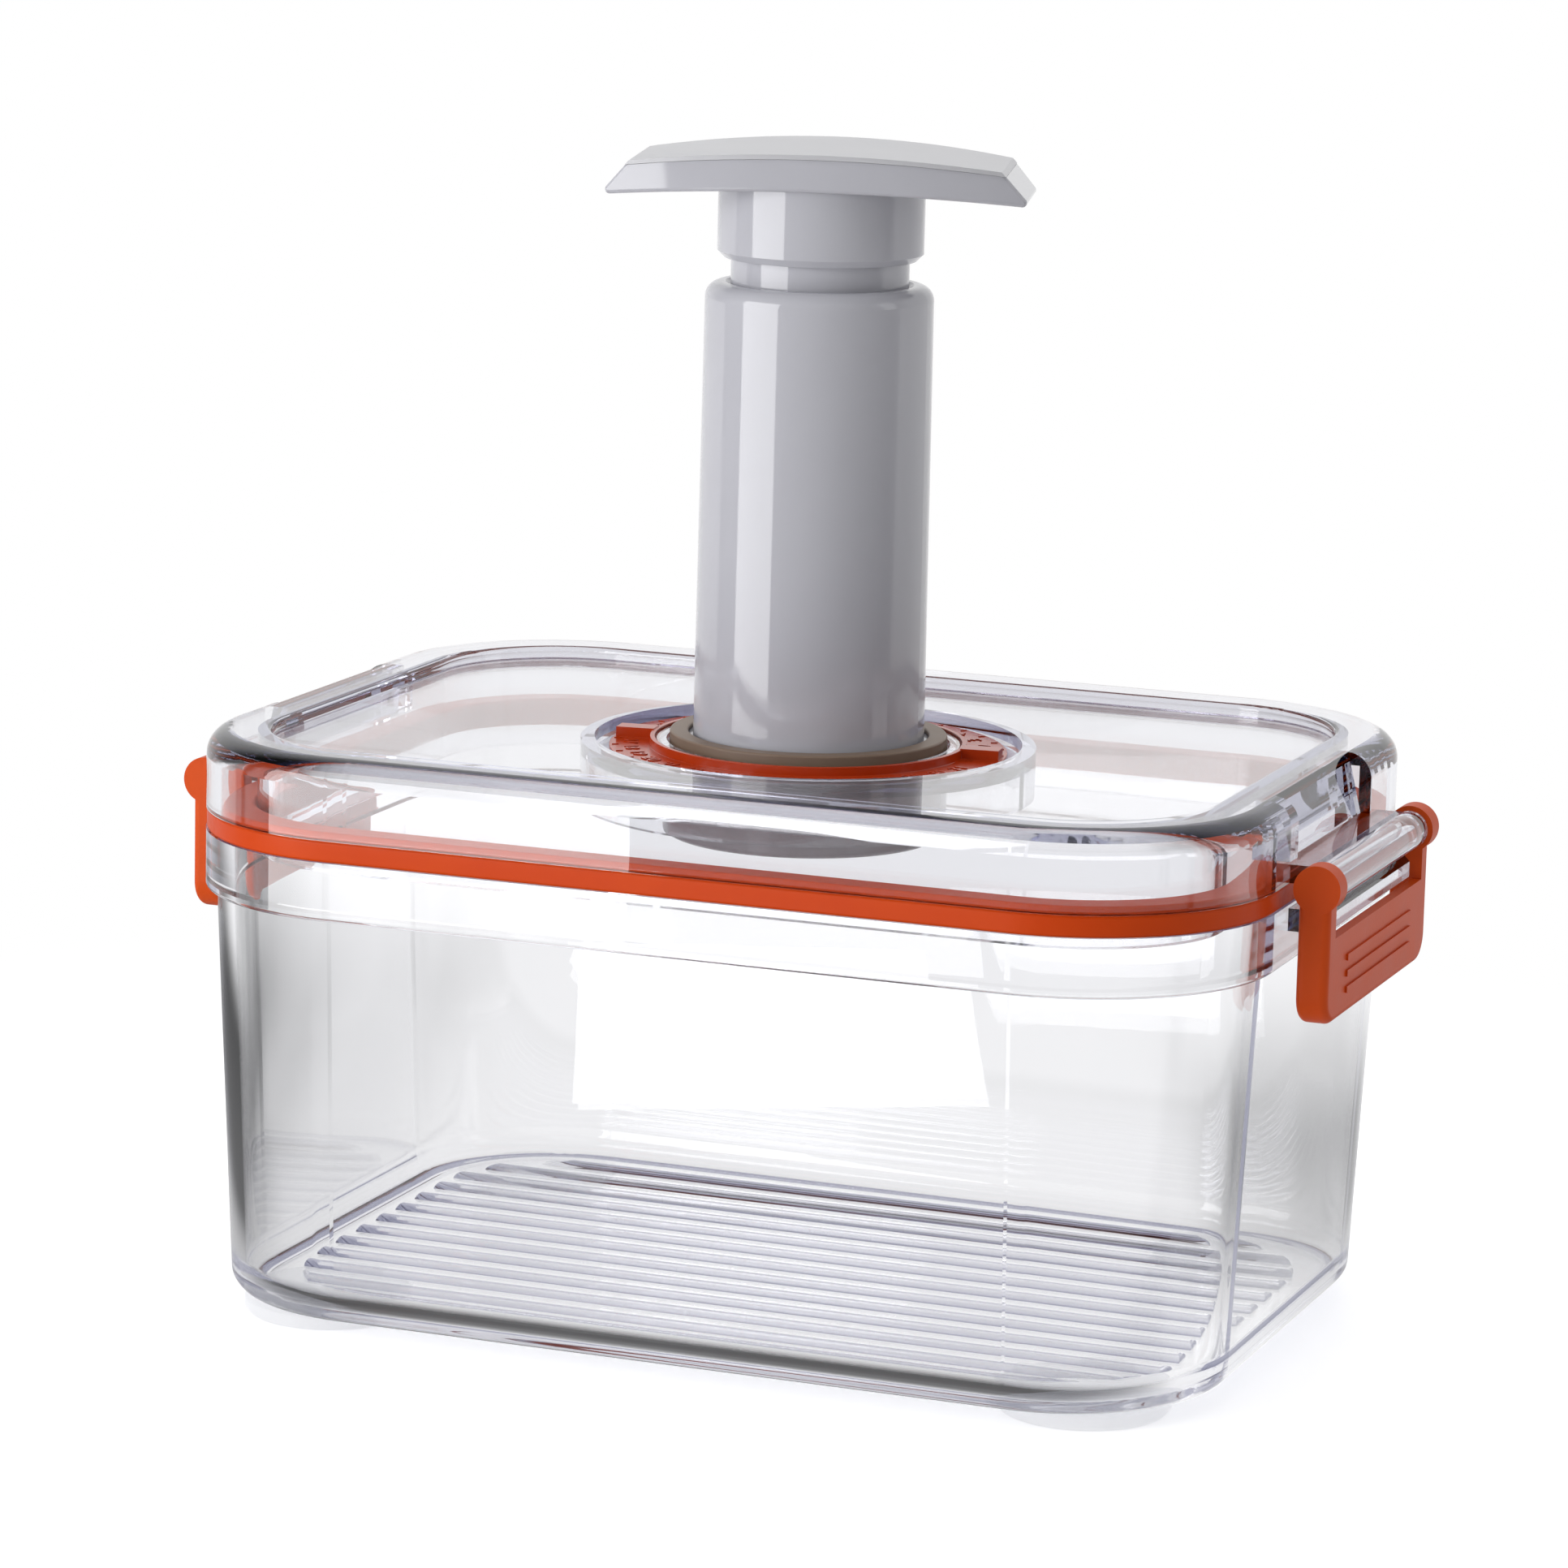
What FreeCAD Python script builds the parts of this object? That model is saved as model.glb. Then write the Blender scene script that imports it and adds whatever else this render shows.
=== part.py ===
"""Vacuum seal canister: clear tub and lid, orange seal and clips, and a hand pump that stands in the lid.

Millimetres, +Z up, the origin on the ground under the middle of the tub, X along the long side.
"""
import FreeCAD, Part
import math
import os
import re

import Sketcher

os.makedirs("parts", exist_ok=True)
doc = FreeCAD.newDocument("canister")

# Driving sizes
SIZES = (
    # outline that the lid, its gasket and the tub's collar share
    ("lid_length", "193.4"),
    ("lid_depth", "140.8"),
    ("lid_corner", "35.3"),
    # tub
    ("tub_height", "82.9"),
    ("tub_wall", "2.5"),
    ("floor_thickness", "2"),
    ("collar_height", "10.3"),
    ("collar_outset", "2"),
    ("collar_edge", "0.8"),
    ("tub_taper", "3.2"),
    ("base_fillet", "4"),
    ("floor_fillet", "5"),
    ("rib_margin", "10.4"),
    ("rib_pitch", "8.7"),
    ("rib_width", "5"),
    ("rib_crest", "0.8"),
    ("rib_height", "1"),
    ("rib_edge", "0.8"),
    ("rib_field_corner", "24"),
    ("nose_height", "3.9"),
    ("nose_drop", "0.5"),
    ("nose_chamfer", "1.2"),
    # feet
    ("foot_height", "2.5"),
    ("foot_diameter", "30"),
    ("foot_edge", "0.8"),
    ("foot_inset_x", "21.5"),
    ("foot_inset_y", "18.2"),
    # lid
    ("lid_height", "13.8"),
    ("lid_shoulder", "4.5"),
    ("lid_edge", "1"),
    ("skirt_wall", "2.6"),
    ("channel_width", "6.3"),
    ("plug_wall", "2.6"),
    ("plug_depth", "3.4"),
    ("recess_depth", "2.1"),
    ("deck_thickness", "2.5"),
    ("well_wall", "2.5"),
    ("well_depth", "2.9"),
    ("well_skirt", "5.7"),
    ("boss_wall", "2"),
    ("boss_depth", "4"),
    ("guide_gap", "0.6"),
    ("guide_wall", "1.2"),
    ("guide_height", "2.05"),
    ("guide_lip", "0.5"),
    ("facet_width", "45"),
    ("facet_top_inset", "4.3"),
    ("facet_bottom_inset", "1.7"),
    # gasket
    ("gasket_flange", "3.8"),
    ("gasket_rise", "1.2"),
    ("gasket_clearance", "0.3"),
    ("gasket_inset", "0.15"),
    # hinge bars and clips
    ("hinge_reach", "6.1"),
    ("hinge_rise", "0.2"),
    ("bar_diameter", "6.6"),
    ("bar_length", "53.6"),
    ("web_thickness", "3.2"),
    ("pin_diameter", "3.6"),
    ("pin_length", "3.2"),
    ("pin_fit", "0.05"),
    ("clip_arm", "4.2"),
    ("clip_side_gap", "0.5"),
    ("clip_drop", "23.6"),
    ("clip_depth", "5.6"),
    ("clip_face_reach", "2.4"),
    ("clip_plate", "1.8"),
    ("clip_gap", "0.3"),
    ("clip_step", "0.4"),
    ("clip_head", "8.2"),
    ("clip_corner", "5"),
    ("clip_edge", "1.4"),
    ("grip_margin", "3.9"),
    ("grip_pitch", "2.8"),
    ("grip_height", "1.1"),
    ("grip_rise", "0.35"),
    ("grip_length", "40"),
    # date dial
    ("dial_gap", "2.6"),
    ("dial_flange_width", "7.2"),
    ("dial_flange", "1.4"),
    ("dial_ring_wall", "0.85"),
    ("dial_ring_height", "3"),
    ("dial_fit", "0.08"),
    ("dial_step_gap", "0.2"),
    ("dial_lip_gap", "0.35"),
    ("tab_width", "4"),
    ("tab_height", "1.8"),
    ("tab_margin", "0.6"),
    ("dial_turn", "8"),
    # vent valve
    ("vent_hole", "6.4"),
    ("vent_fit", "0.6"),
    ("vent_disc", "18"),
    ("vent_disc_height", "1.2"),
    ("vent_button", "10"),
    ("vent_height", "2"),
    ("vent_lift", "1.5"),
    ("vent_catch", "0.7"),
    ("vent_bulb_height", "2.4"),
    ("valve_gap", "0.2"),
    # valve cage
    ("cage_diameter", "49.4"),
    ("cage_wall", "2"),
    ("cage_depth", "11"),
    ("cage_floor", "1.6"),
    ("cage_edge", "1"),
    ("cage_hole", "3"),
    ("cage_circle", "24"),
    ("cage_count", "8"),
    # pump barrel, base and foot seal
    ("barrel_diameter", "40"),
    ("barrel_draft", "0.45"),
    ("barrel_wall", "2.2"),
    ("barrel_length", "80.3"),
    ("barrel_lip", "3"),
    ("barrel_shoulder", "2.7"),
    ("mouth_chamfer", "0.8"),
    ("flange_reach", "1.8"),
    ("flange_thickness", "2"),
    ("spigot_height", "5.4"),
    ("spigot_wall", "2.25"),
    ("base_plate", "2.4"),
    ("press_gap", "0.05"),
    ("inlet_hole", "2.4"),
    ("inlet_circle", "10"),
    ("inlet_count", "6"),
    ("seal_wall", "2.2"),
    ("seal_tread", "2.75"),
    ("seal_gap", "0.75"),
    ("seal_lip", "1.4"),
    ("seal_collar", "0.9"),
    # inlet valve
    ("inlet_stem", "3"),
    ("inlet_disc", "16"),
    ("inlet_disc_height", "1"),
    ("inlet_lift", "1"),
    ("inlet_catch", "0.9"),
    ("inlet_bulb_height", "0.8"),
    ("inlet_fit", "0.1"),
    # plunger
    ("plunger_rest", "4"),
    ("plunger_gap", "0.3"),
    ("rod_gap", "2.2"),
    ("rod_wall", "2.2"),
    ("rod_top", "3"),
    ("rod_fit", "0.1"),
    ("piston_gap", "0.5"),
    ("piston_clearance", "0.3"),
    ("piston_foot", "3.2"),
    ("piston_groove", "5"),
    ("piston_crown", "4.8"),
    ("piston_groove_depth", "2.3"),
    ("piston_spigot", "8"),
    ("piston_wall", "2.4"),
    ("seal_fit", "0.08"),
    ("seal_play", "0.1"),
    # handle
    ("neck_wall", "2.45"),
    ("neck_chamfer", "1.2"),
    ("neck_socket", "8"),
    ("neck_height", "13"),
    ("handle_length", "75.2"),
    ("handle_top_length", "64.2"),
    ("handle_end_height", "6.3"),
    ("handle_top_arch", "2.3"),
    ("handle_under_arch", "2.1"),
    ("handle_depth", "24.5"),
    ("handle_belly", "7"),
    ("handle_edge", "0.8"),
    ("handle_turn", "15"),
    ("cover_thickness", "0.9"),
    ("cover_lip", "0.25"),
    ("cover_gap", "0.05"),
    ("cover_peg_gap", "0.1"),
    ("cover_peg_clear", "1.3"),
    ("screw_offset", "8"),
    ("screw_diameter", "2.9"),
    ("screw_fit", "0.1"),
    ("screw_head", "5.6"),
    ("screw_head_height", "2"),
    ("screw_bite", "5"),
    ("screw_floor", "3"),
    ("screw_head_gap", "0.4"),
)

# Places and sizes that follow from the driving ones
DERIVED = (
    ("half_length", "lid_length / 2"),
    ("half_depth", "lid_depth / 2"),
    ("base_inset", "collar_outset + tub_taper"),
    ("base_length", "lid_length - 2 * base_inset"),
    ("base_depth", "lid_depth - 2 * base_inset"),
    ("rim_z", "foot_height + tub_height"),
    ("collar_z", "rim_z - collar_height"),
    ("floor_z", "foot_height + floor_thickness"),
    ("rib_side", "(base_depth - 2 * rib_margin - rib_width) / 2"),
    ("rib_count", "2 * floor(rib_side / rib_pitch) + 1"),
    ("rib_field_depth", "(rib_count - 1) * rib_pitch + rib_crest + 2 * rib_height"),
    ("rib_field_length", "base_length - 2 * rib_margin"),
    ("rib_slope", "(rib_width - rib_crest) / 2"),
    ("rib_radius", "(rib_slope ^ 2 + rib_height ^ 2) / (2 * rib_height)"),
    ("skirt_z", "rim_z + gasket_flange"),
    ("lid_top_z", "skirt_z + lid_height"),
    ("deck_z", "lid_top_z - recess_depth"),
    ("deck_under_z", "deck_z - deck_thickness"),
    ("channel_inset", "skirt_wall + channel_width"),
    ("ridge_width", "channel_inset + plug_wall"),
    ("plug_z", "rim_z - plug_depth"),
    ("barrel_foot_diameter", "barrel_diameter + 2 * barrel_draft"),
    ("barrel_bore", "barrel_diameter - 2 * barrel_wall"),
    ("base_flange", "barrel_foot_diameter + 2 * flange_reach"),
    ("spigot_bore", "barrel_bore - 2 * (press_gap + spigot_wall)"),
    ("seal_diameter", "base_flange + 2 * (press_gap + seal_wall)"),
    ("seal_bore", "base_flange - 2 * seal_tread"),
    ("seal_mouth", "barrel_foot_diameter + 2 * seal_gap"),
    ("rod_diameter", "barrel_bore - 2 * rod_gap"),
    ("neck_diameter", "rod_diameter + 2 * neck_wall"),
    ("guide_radius", "seal_diameter / 2 + guide_gap + guide_wall"),
    ("dial_counterbore", "guide_radius + guide_lip + dial_lip_gap"),
    ("dial_ring_radius", "dial_counterbore + dial_ring_wall"),
    ("dial_radius", "dial_ring_radius + dial_flange_width"),
    ("well_radius", "dial_radius + dial_gap"),
    ("well_floor_z", "deck_z - well_depth"),
    ("well_under_z", "well_floor_z - well_wall"),
    ("cage_bore", "cage_diameter / 2 - cage_wall"),
    ("cage_z", "well_under_z - cage_depth"),
    ("boss_radius", "cage_bore - press_gap"),
    ("web_top_z", "skirt_z + web_thickness"),
    ("hinge_x", "half_length + hinge_reach"),
    ("hinge_z", "skirt_z + hinge_rise"),
    ("clip_face_x", "hinge_x + clip_face_reach"),
    ("clip_inner_x", "clip_face_x - clip_depth"),
    ("plate_x", "clip_face_x - clip_plate"),
    ("nose_tip_x", "plate_x - clip_gap"),
    ("nose_top_z", "rim_z - nose_drop"),
    ("nose_z", "nose_top_z - nose_height"),
    ("plate_top_z", "nose_z - clip_step"),
    ("clip_z", "hinge_z - clip_drop"),
    ("window_width", "bar_length + 2 * clip_side_gap"),
    ("clip_width", "window_width + 2 * clip_arm"),
    ("grip_room", "plate_top_z - clip_z - 2 * grip_margin - grip_height"),
    ("grip_count", "floor(grip_room / grip_pitch) + 1"),
    ("grip_z", "(clip_z + plate_top_z - grip_height - (grip_count - 1) * grip_pitch) / 2"),
    ("vent_stem", "vent_hole - 2 * vent_fit"),
    ("vent_bulb", "vent_hole + 2 * vent_catch"),
    ("inlet_bulb", "inlet_stem + 2 * inlet_catch"),
    ("guide_top_z", "well_floor_z + guide_height"),
    ("dial_bore", "guide_radius + dial_fit"),
    ("dial_step_z", "guide_top_z - dial_step_gap"),
    ("flange_z", "well_floor_z + seal_lip"),
    ("barrel_z", "flange_z + flange_thickness"),
    ("barrel_top_z", "barrel_z + barrel_length"),
    ("base_top_z", "barrel_z + spigot_height"),
    ("base_under_z", "base_top_z - base_plate"),
    ("bore_radius", "barrel_bore / 2"),
    ("rod_radius", "rod_diameter / 2"),
    ("mouth_radius", "rod_radius + rod_fit"),
    ("piston_radius", "bore_radius - piston_clearance"),
    ("piston_z", "base_top_z + inlet_disc_height + inlet_lift + piston_gap + plunger_rest"),
    ("groove_z", "piston_z + piston_foot"),
    ("groove_top_z", "groove_z + piston_groove"),
    ("piston_top_z", "groove_top_z + piston_crown"),
    ("groove_radius", "piston_radius - piston_groove_depth"),
    ("rod_bore", "rod_radius - rod_wall"),
    ("neck_z", "barrel_top_z + plunger_rest + plunger_gap"),
    ("rod_top_z", "neck_z + neck_socket"),
    ("under_z", "neck_z + neck_height"),
    ("tip_z", "under_z - handle_under_arch"),
    ("corner_z", "tip_z + handle_end_height"),
    ("end_run", "(handle_length - handle_top_length) / 2"),
    ("cover_run", "cover_thickness * end_run / handle_end_height"),
    ("cover_seat_half", "handle_top_length / 2 + cover_run"),
    ("seat_z", "corner_z - cover_thickness"),
    ("under_radius", "(handle_length ^ 2 / 4 + handle_under_arch ^ 2) / (2 * handle_under_arch)"),
    ("top_radius", "(handle_top_length ^ 2 / 4 + handle_top_arch ^ 2) / (2 * handle_top_arch)"),
    ("seat_radius", "(cover_seat_half ^ 2 + handle_top_arch ^ 2) / (2 * handle_top_arch)"),
    ("belly_radius", "(handle_length ^ 2 / 4 + handle_belly ^ 2) / (2 * handle_belly)"),
    ("screw_seat_z", "rod_top_z + screw_floor"),
    ("counterbore", "screw_head + 2 * screw_head_gap"),
    ("cover_peg_z", "screw_seat_z + screw_head_height + cover_peg_clear"),
)

sheet = doc.addObject("Spreadsheet::Sheet", "Sizes")
for row, (alias, number) in enumerate(SIZES, start=1):
    sheet.set(f"A{row}", alias)
    sheet.set(f"B{row}", number)
    sheet.setAlias(f"B{row}", alias)
for row, (alias, formula) in enumerate(DERIVED, start=1):
    sheet.set(f"D{row}", alias)
    sheet.set(f"E{row}", f"={formula}")
    sheet.setAlias(f"E{row}", alias)
doc.recompute()

WORD = re.compile(r"[a-z][a-z_]*")
WHOLE_EDGE, FIRST_POINT, SECOND_POINT, CENTRE_POINT = range(4)
Y_AXIS, X_AXIS = range(-2, 0)
TOUCH = 1e-4


def bound(expression):
    """Expression over the sheet's aliases, as a document expression."""
    return WORD.sub(lambda word: f"Sizes.{word.group()}", expression)


def value(expression):
    """Number that an expression over the sheet's aliases gives."""
    return float(doc.Sizes.evalExpression(bound(expression)))


def new_body(name):
    made = doc.addObject("PartDesign::Body", name)
    made.Label = name
    return made


def sketch(body, name, role, offset="0"):
    """Sketch on one of the body's own planes, moved along that plane's normal."""
    made = body.newObject("Sketcher::SketchObject", name)
    plane = next(feature for feature in body.Origin.OriginFeatures if feature.Role == role)
    made.AttachmentSupport = (plane, "")
    made.MapMode = "FlatFace"
    made.setExpression("AttachmentOffset.Base.z", bound(offset))
    return made


def locate(made, geometry, point, x, y):
    """Fix one point of a sketch at the place that two expressions give."""
    for kind, axis, expression in (("DistanceX", Y_AXIS, x), ("DistanceY", X_AXIS, y)):
        number = value(expression)
        if abs(number) < TOUCH:
            made.addConstraint(Sketcher.Constraint("PointOnObject", geometry, point, axis))
            continue
        ends = [(X_AXIS, FIRST_POINT), (geometry, point)]
        if number < 0:
            ends.reverse()
            expression = f"-({expression})"
        index = made.addConstraint(Sketcher.Constraint(kind, *ends[0], *ends[1], abs(number)))
        made.setExpression(f"Constraints[{index}]", bound(expression))


def arc_between(start, finish, radius, side):
    """Short arc between two points; side is 1 with its centre on the left of the way, -1 on the right."""
    way = finish - start
    left = FreeCAD.Vector(-way.y, way.x, 0).normalize()
    rise = math.sqrt(max(radius ** 2 - way.Length ** 2 / 4, 0))
    centre = (start + finish) * 0.5 + left * rise * side
    ends = (start, finish) if side > 0 else (finish, start)
    first, last = (math.atan2(end.y - centre.y, end.x - centre.x) for end in ends)
    return Part.ArcOfCircle(Part.Circle(centre, FreeCAD.Vector(0, 0, 1), radius), first, last)


def outline(made, points, arcs=None):
    """Closed outline through the points; arcs gives an edge's radius and the side of its centre."""
    arcs = arcs or {}
    spots = [FreeCAD.Vector(value(x), value(y), 0) for x, y in points]
    count = len(spots)
    first = made.GeometryCount
    ends = []
    for edge, start in enumerate(spots):
        finish = spots[(edge + 1) % count]
        if edge in arcs:
            radius, side = arcs[edge]
            made.addGeometry(arc_between(start, finish, value(radius), side))
            ends.append((FIRST_POINT, SECOND_POINT) if side > 0 else (SECOND_POINT, FIRST_POINT))
        else:
            made.addGeometry(Part.LineSegment(start, finish))
            ends.append((FIRST_POINT, SECOND_POINT))
    for edge in range(count):
        after = (edge + 1) % count
        made.addConstraint(
            Sketcher.Constraint("Coincident", first + edge, ends[edge][1], first + after, ends[after][0]))
        locate(made, first + edge, ends[edge][0], *points[edge])
    for edge, (radius, side) in arcs.items():
        index = made.addConstraint(Sketcher.Constraint("Radius", first + edge, value(radius)))
        made.setExpression(f"Constraints[{index}]", bound(radius))


def rectangle(made, low_x, high_x, low_y, high_y):
    outline(made, ((low_x, low_y), (high_x, low_y), (high_x, high_y), (low_x, high_y)))


def rounded(made, length, depth, corner, inset="0"):
    """Rectangle with round corners about the middle, drawn in by an inset all round."""
    a, b = f"(({length}) / 2 - ({inset}))", f"(({depth}) / 2 - ({inset}))"
    r = f"({corner} - ({inset}))"
    ax, by = f"({a} - {r})", f"({b} - {r})"
    points = ((f"-{ax}", f"-{b}"), (ax, f"-{b}"), (a, f"-{by}"), (a, by),
              (ax, b), (f"-{ax}", b), (f"-{a}", by), (f"-{a}", f"-{by}"))
    outline(made, points, {edge: (r, 1) for edge in range(1, len(points), 2)})


def circle(made, radius, x="0", y="0"):
    index = made.addGeometry(
        Part.Circle(FreeCAD.Vector(value(x), value(y), 0), FreeCAD.Vector(0, 0, 1), value(radius)))
    locate(made, index, CENTRE_POINT, x, y)
    row = made.addConstraint(Sketcher.Constraint("Radius", index, value(radius)))
    made.setExpression(f"Constraints[{row}]", bound(radius))


def extrude(body, kind, profile, length, turn_round=False, both_ways=False):
    """Pad or Pocket of a sketch; a pad goes along the sketch's normal and a pocket against it."""
    made = body.newObject(f"PartDesign::{kind}", f"{profile.Name}_{kind.lower()}")
    made.Profile = profile
    made.setExpression("Length", bound(length))
    made.Reversed = turn_round
    if both_ways:
        made.SideType = "Symmetric"
    return made


def fillet(body, name, radius, chosen):
    """Round the edges of the body's last shape that the test chooses."""
    doc.recompute()
    base = body.Tip
    edges = [f"Edge{index}" for index, edge in enumerate(base.Shape.Edges, start=1) if chosen(edge)]
    made = body.newObject("PartDesign::Fillet", name)
    made.Base = (base, edges)
    made.setExpression("Radius", bound(radius))
    return made


def level(edge, z):
    """Whether an edge lies flat at a height."""
    box, height = edge.BoundBox, value(z)
    return abs(box.ZMin - height) < TOUCH and abs(box.ZMax - height) < TOUCH


def wider(edge, radius):
    """Whether a round edge about the Z axis lies outside a radius."""
    return edge.BoundBox.XMax > value(radius) + TOUCH


def inside(edge, inset):
    """Whether an edge's middle lies within the lid's outline drawn in by an inset."""
    middle = edge.valueAt((edge.FirstParameter + edge.LastParameter) / 2)
    drawn_in = value(inset)
    a, b = value("half_length") - drawn_in, value("half_depth") - drawn_in
    r = max(value("lid_corner") - drawn_in, 0)
    dx, dy = max(abs(middle.x) - (a - r), 0), max(abs(middle.y) - (b - r), 0)
    return math.hypot(dx, dy) < r


def turned(name, points, arcs=None):
    """Body turned about the Z axis from a profile of radius and height."""
    body = new_body(name)
    profile = sketch(body, f"{name}_profile", "XZ_Plane")
    outline(profile, points, arcs)
    made = body.newObject("PartDesign::Revolution", f"{name}_turn")
    made.Profile = profile
    made.ReferenceAxis = (profile, ["V_Axis"])
    made.Angle = 360
    return body


def turn_about_z(body, angle):
    """Turn a finished body about the Z axis."""
    turn = FreeCAD.Rotation(FreeCAD.Vector(0, 0, 1), value(angle))
    body.Placement = FreeCAD.Placement(FreeCAD.Vector(0, 0, 0), turn)
    body.setExpression("Placement.Rotation.Angle", bound(angle))


# Tub: a drafted box, thick at the collar, with ribs on its floor and a catch nose at each end
tub = new_body("tub")
tub_foot = sketch(tub, "tub_foot", "XY_Plane", "foot_height")
rounded(tub_foot, "lid_length", "lid_depth", "lid_corner", "base_inset")
tub_neck = sketch(tub, "tub_neck", "XY_Plane", "collar_z")
rounded(tub_neck, "lid_length", "lid_depth", "lid_corner", "collar_outset")
tub_outside = tub.newObject("PartDesign::AdditiveLoft", "tub_outside")
tub_outside.Profile = tub_foot
tub_outside.Sections = [tub_neck]
fillet(tub, "tub_base_round", "base_fillet", lambda edge: level(edge, "foot_height"))
tub_collar = sketch(tub, "tub_collar", "XY_Plane", "collar_z")
rounded(tub_collar, "lid_length", "lid_depth", "lid_corner")
extrude(tub, "Pad", tub_collar, "collar_height")
tub_floor = sketch(tub, "tub_floor", "XY_Plane", "floor_z")
rounded(tub_floor, "lid_length", "lid_depth", "lid_corner", "base_inset + tub_wall")
tub_mouth = sketch(tub, "tub_mouth", "XY_Plane", "rim_z")
rounded(tub_mouth, "lid_length", "lid_depth", "lid_corner", "collar_outset + tub_wall")
tub_inside = tub.newObject("PartDesign::SubtractiveLoft", "tub_inside")
tub_inside.Profile = tub_floor
tub_inside.Sections = [tub_mouth]
fillet(tub, "tub_floor_round", "floor_fillet", lambda edge: level(edge, "floor_z"))
fillet(tub, "tub_collar_round", "collar_edge",
       lambda edge: level(edge, "collar_z") and not inside(edge, "collar_outset / 2"))
tub_ribs = new_body("tub_ribs")
rib_field = sketch(tub_ribs, "rib_field", "XY_Plane", "floor_z - floor_thickness / 2")
rounded(rib_field, "rib_field_length", "rib_field_depth", "rib_field_corner")
extrude(tub_ribs, "Pad", rib_field, "floor_thickness / 2 + rib_height")
fillet(tub_ribs, "rib_field_round", "rib_edge", lambda edge: level(edge, "floor_z + rib_height"))
rib_gap = sketch(tub_ribs, "rib_gap", "YZ_Plane")
gap_start = "((1 - rib_count) / 2 * rib_pitch)"
gap_top = "floor_z + rib_height"
outline(rib_gap, (
    (f"{gap_start} + rib_width / 2", "floor_z"),
    (f"{gap_start} + rib_pitch - rib_width / 2", "floor_z"),
    (f"{gap_start} + rib_pitch - rib_crest / 2", gap_top),
    (f"{gap_start} + rib_pitch - rib_crest / 2", f"{gap_top} + rib_height"),
    (f"{gap_start} + rib_crest / 2", f"{gap_top} + rib_height"),
    (f"{gap_start} + rib_crest / 2", gap_top),
), {1: ("rib_radius", -1), 5: ("rib_radius", -1)})
rib_cut = extrude(tub_ribs, "Pocket", rib_gap, "rib_field_length", both_ways=True)
rib_row = tub_ribs.newObject("PartDesign::LinearPattern", "rib_row")
rib_row.Originals = [rib_cut]
rib_row.Direction = (rib_gap, ["H_Axis"])
rib_row.setExpression("Length", bound("(rib_count - 2) * rib_pitch"))
rib_row.setExpression("Occurrences", bound("rib_count - 1"))
tub_ribs.Tip = rib_row
doc.recompute()
ribbed_floor = tub.newObject("PartDesign::Boolean", "ribbed_floor")
ribbed_floor.Type = "Fuse"
ribbed_floor.setObjects([tub_ribs])
tub.Tip = ribbed_floor
noses = sketch(tub, "noses", "XZ_Plane")
for side in ("", "-"):
    outline(noses, tuple((f"{side}({x})", z) for x, z in (
        ("half_length - collar_outset", "nose_z"),
        ("nose_tip_x", "nose_z"),
        ("nose_tip_x", "nose_top_z - nose_chamfer"),
        ("nose_tip_x - nose_chamfer", "nose_top_z"),
        ("half_length - collar_outset", "nose_top_z"),
    )))
extrude(tub, "Pad", noses, "bar_length", both_ways=True)

# Feet: round pads with a bevelled edge under the tub's corners
FOOT_SIDES = {
    "front_left": ("-", "-"),
    "front_right": ("", "-"),
    "back_left": ("-", ""),
    "back_right": ("", ""),
}
feet = []
for name, (side_x, side_y) in FOOT_SIDES.items():
    foot = turned(f"foot_{name}", (
        ("0", "0"),
        ("foot_diameter / 2 - foot_edge", "0"),
        ("foot_diameter / 2", "foot_edge"),
        ("foot_diameter / 2", "foot_height"),
        ("0", "foot_height"),
    ))
    foot.setExpression("Placement.Base.x", bound(f"{side_x}(base_length / 2 - foot_inset_x)"))
    foot.setExpression("Placement.Base.y", bound(f"{side_y}(base_depth / 2 - foot_inset_y)"))
    feet.append(foot)

# Lid: a crown with a recessed deck, hollow ridge, plug wall, round well and a hinge bar at each end
lid = new_body("lid")
lid_crown = sketch(lid, "lid_crown", "XY_Plane", "skirt_z")
rounded(lid_crown, "lid_length", "lid_depth", "lid_corner")
extrude(lid, "Pad", lid_crown, "lid_height")
fillet(lid, "lid_shoulder_round", "lid_shoulder", lambda edge: level(edge, "lid_top_z"))
lid_recess = sketch(lid, "lid_recess", "XY_Plane", "lid_top_z")
rounded(lid_recess, "lid_length", "lid_depth", "lid_corner", "ridge_width")
extrude(lid, "Pocket", lid_recess, "recess_depth")
fillet(lid, "lid_recess_round", "lid_edge",
       lambda edge: level(edge, "lid_top_z") and inside(edge, "(lid_shoulder + ridge_width) / 2"))
lid_hollow = sketch(lid, "lid_hollow", "XY_Plane", "skirt_z")
rounded(lid_hollow, "lid_length", "lid_depth", "lid_corner", "ridge_width")
extrude(lid, "Pocket", lid_hollow, "deck_under_z - skirt_z", turn_round=True)
lid_channel = sketch(lid, "lid_channel", "XY_Plane", "skirt_z")
rounded(lid_channel, "lid_length", "lid_depth", "lid_corner", "skirt_wall")
rounded(lid_channel, "lid_length", "lid_depth", "lid_corner", "channel_inset")
extrude(lid, "Pocket", lid_channel, "lid_height - skirt_wall", turn_round=True)
lid_plug = sketch(lid, "lid_plug", "XY_Plane", "plug_z")
rounded(lid_plug, "lid_length", "lid_depth", "lid_corner", "channel_inset")
rounded(lid_plug, "lid_length", "lid_depth", "lid_corner", "ridge_width")
extrude(lid, "Pad", lid_plug, "skirt_z - plug_z")
facet_back = sketch(lid, "facet_back", "XY_Plane", "web_top_z")
facet_back_half = "(facet_width / 2 + skirt_wall)"
for side in ("", "-"):
    rectangle(facet_back,
              f"{side}(half_length - facet_top_inset - skirt_wall)", f"{side}(half_length - skirt_wall / 2)",
              f"-{facet_back_half}", facet_back_half)
extrude(lid, "Pad", facet_back, "lid_top_z - skirt_wall - web_top_z")
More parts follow.
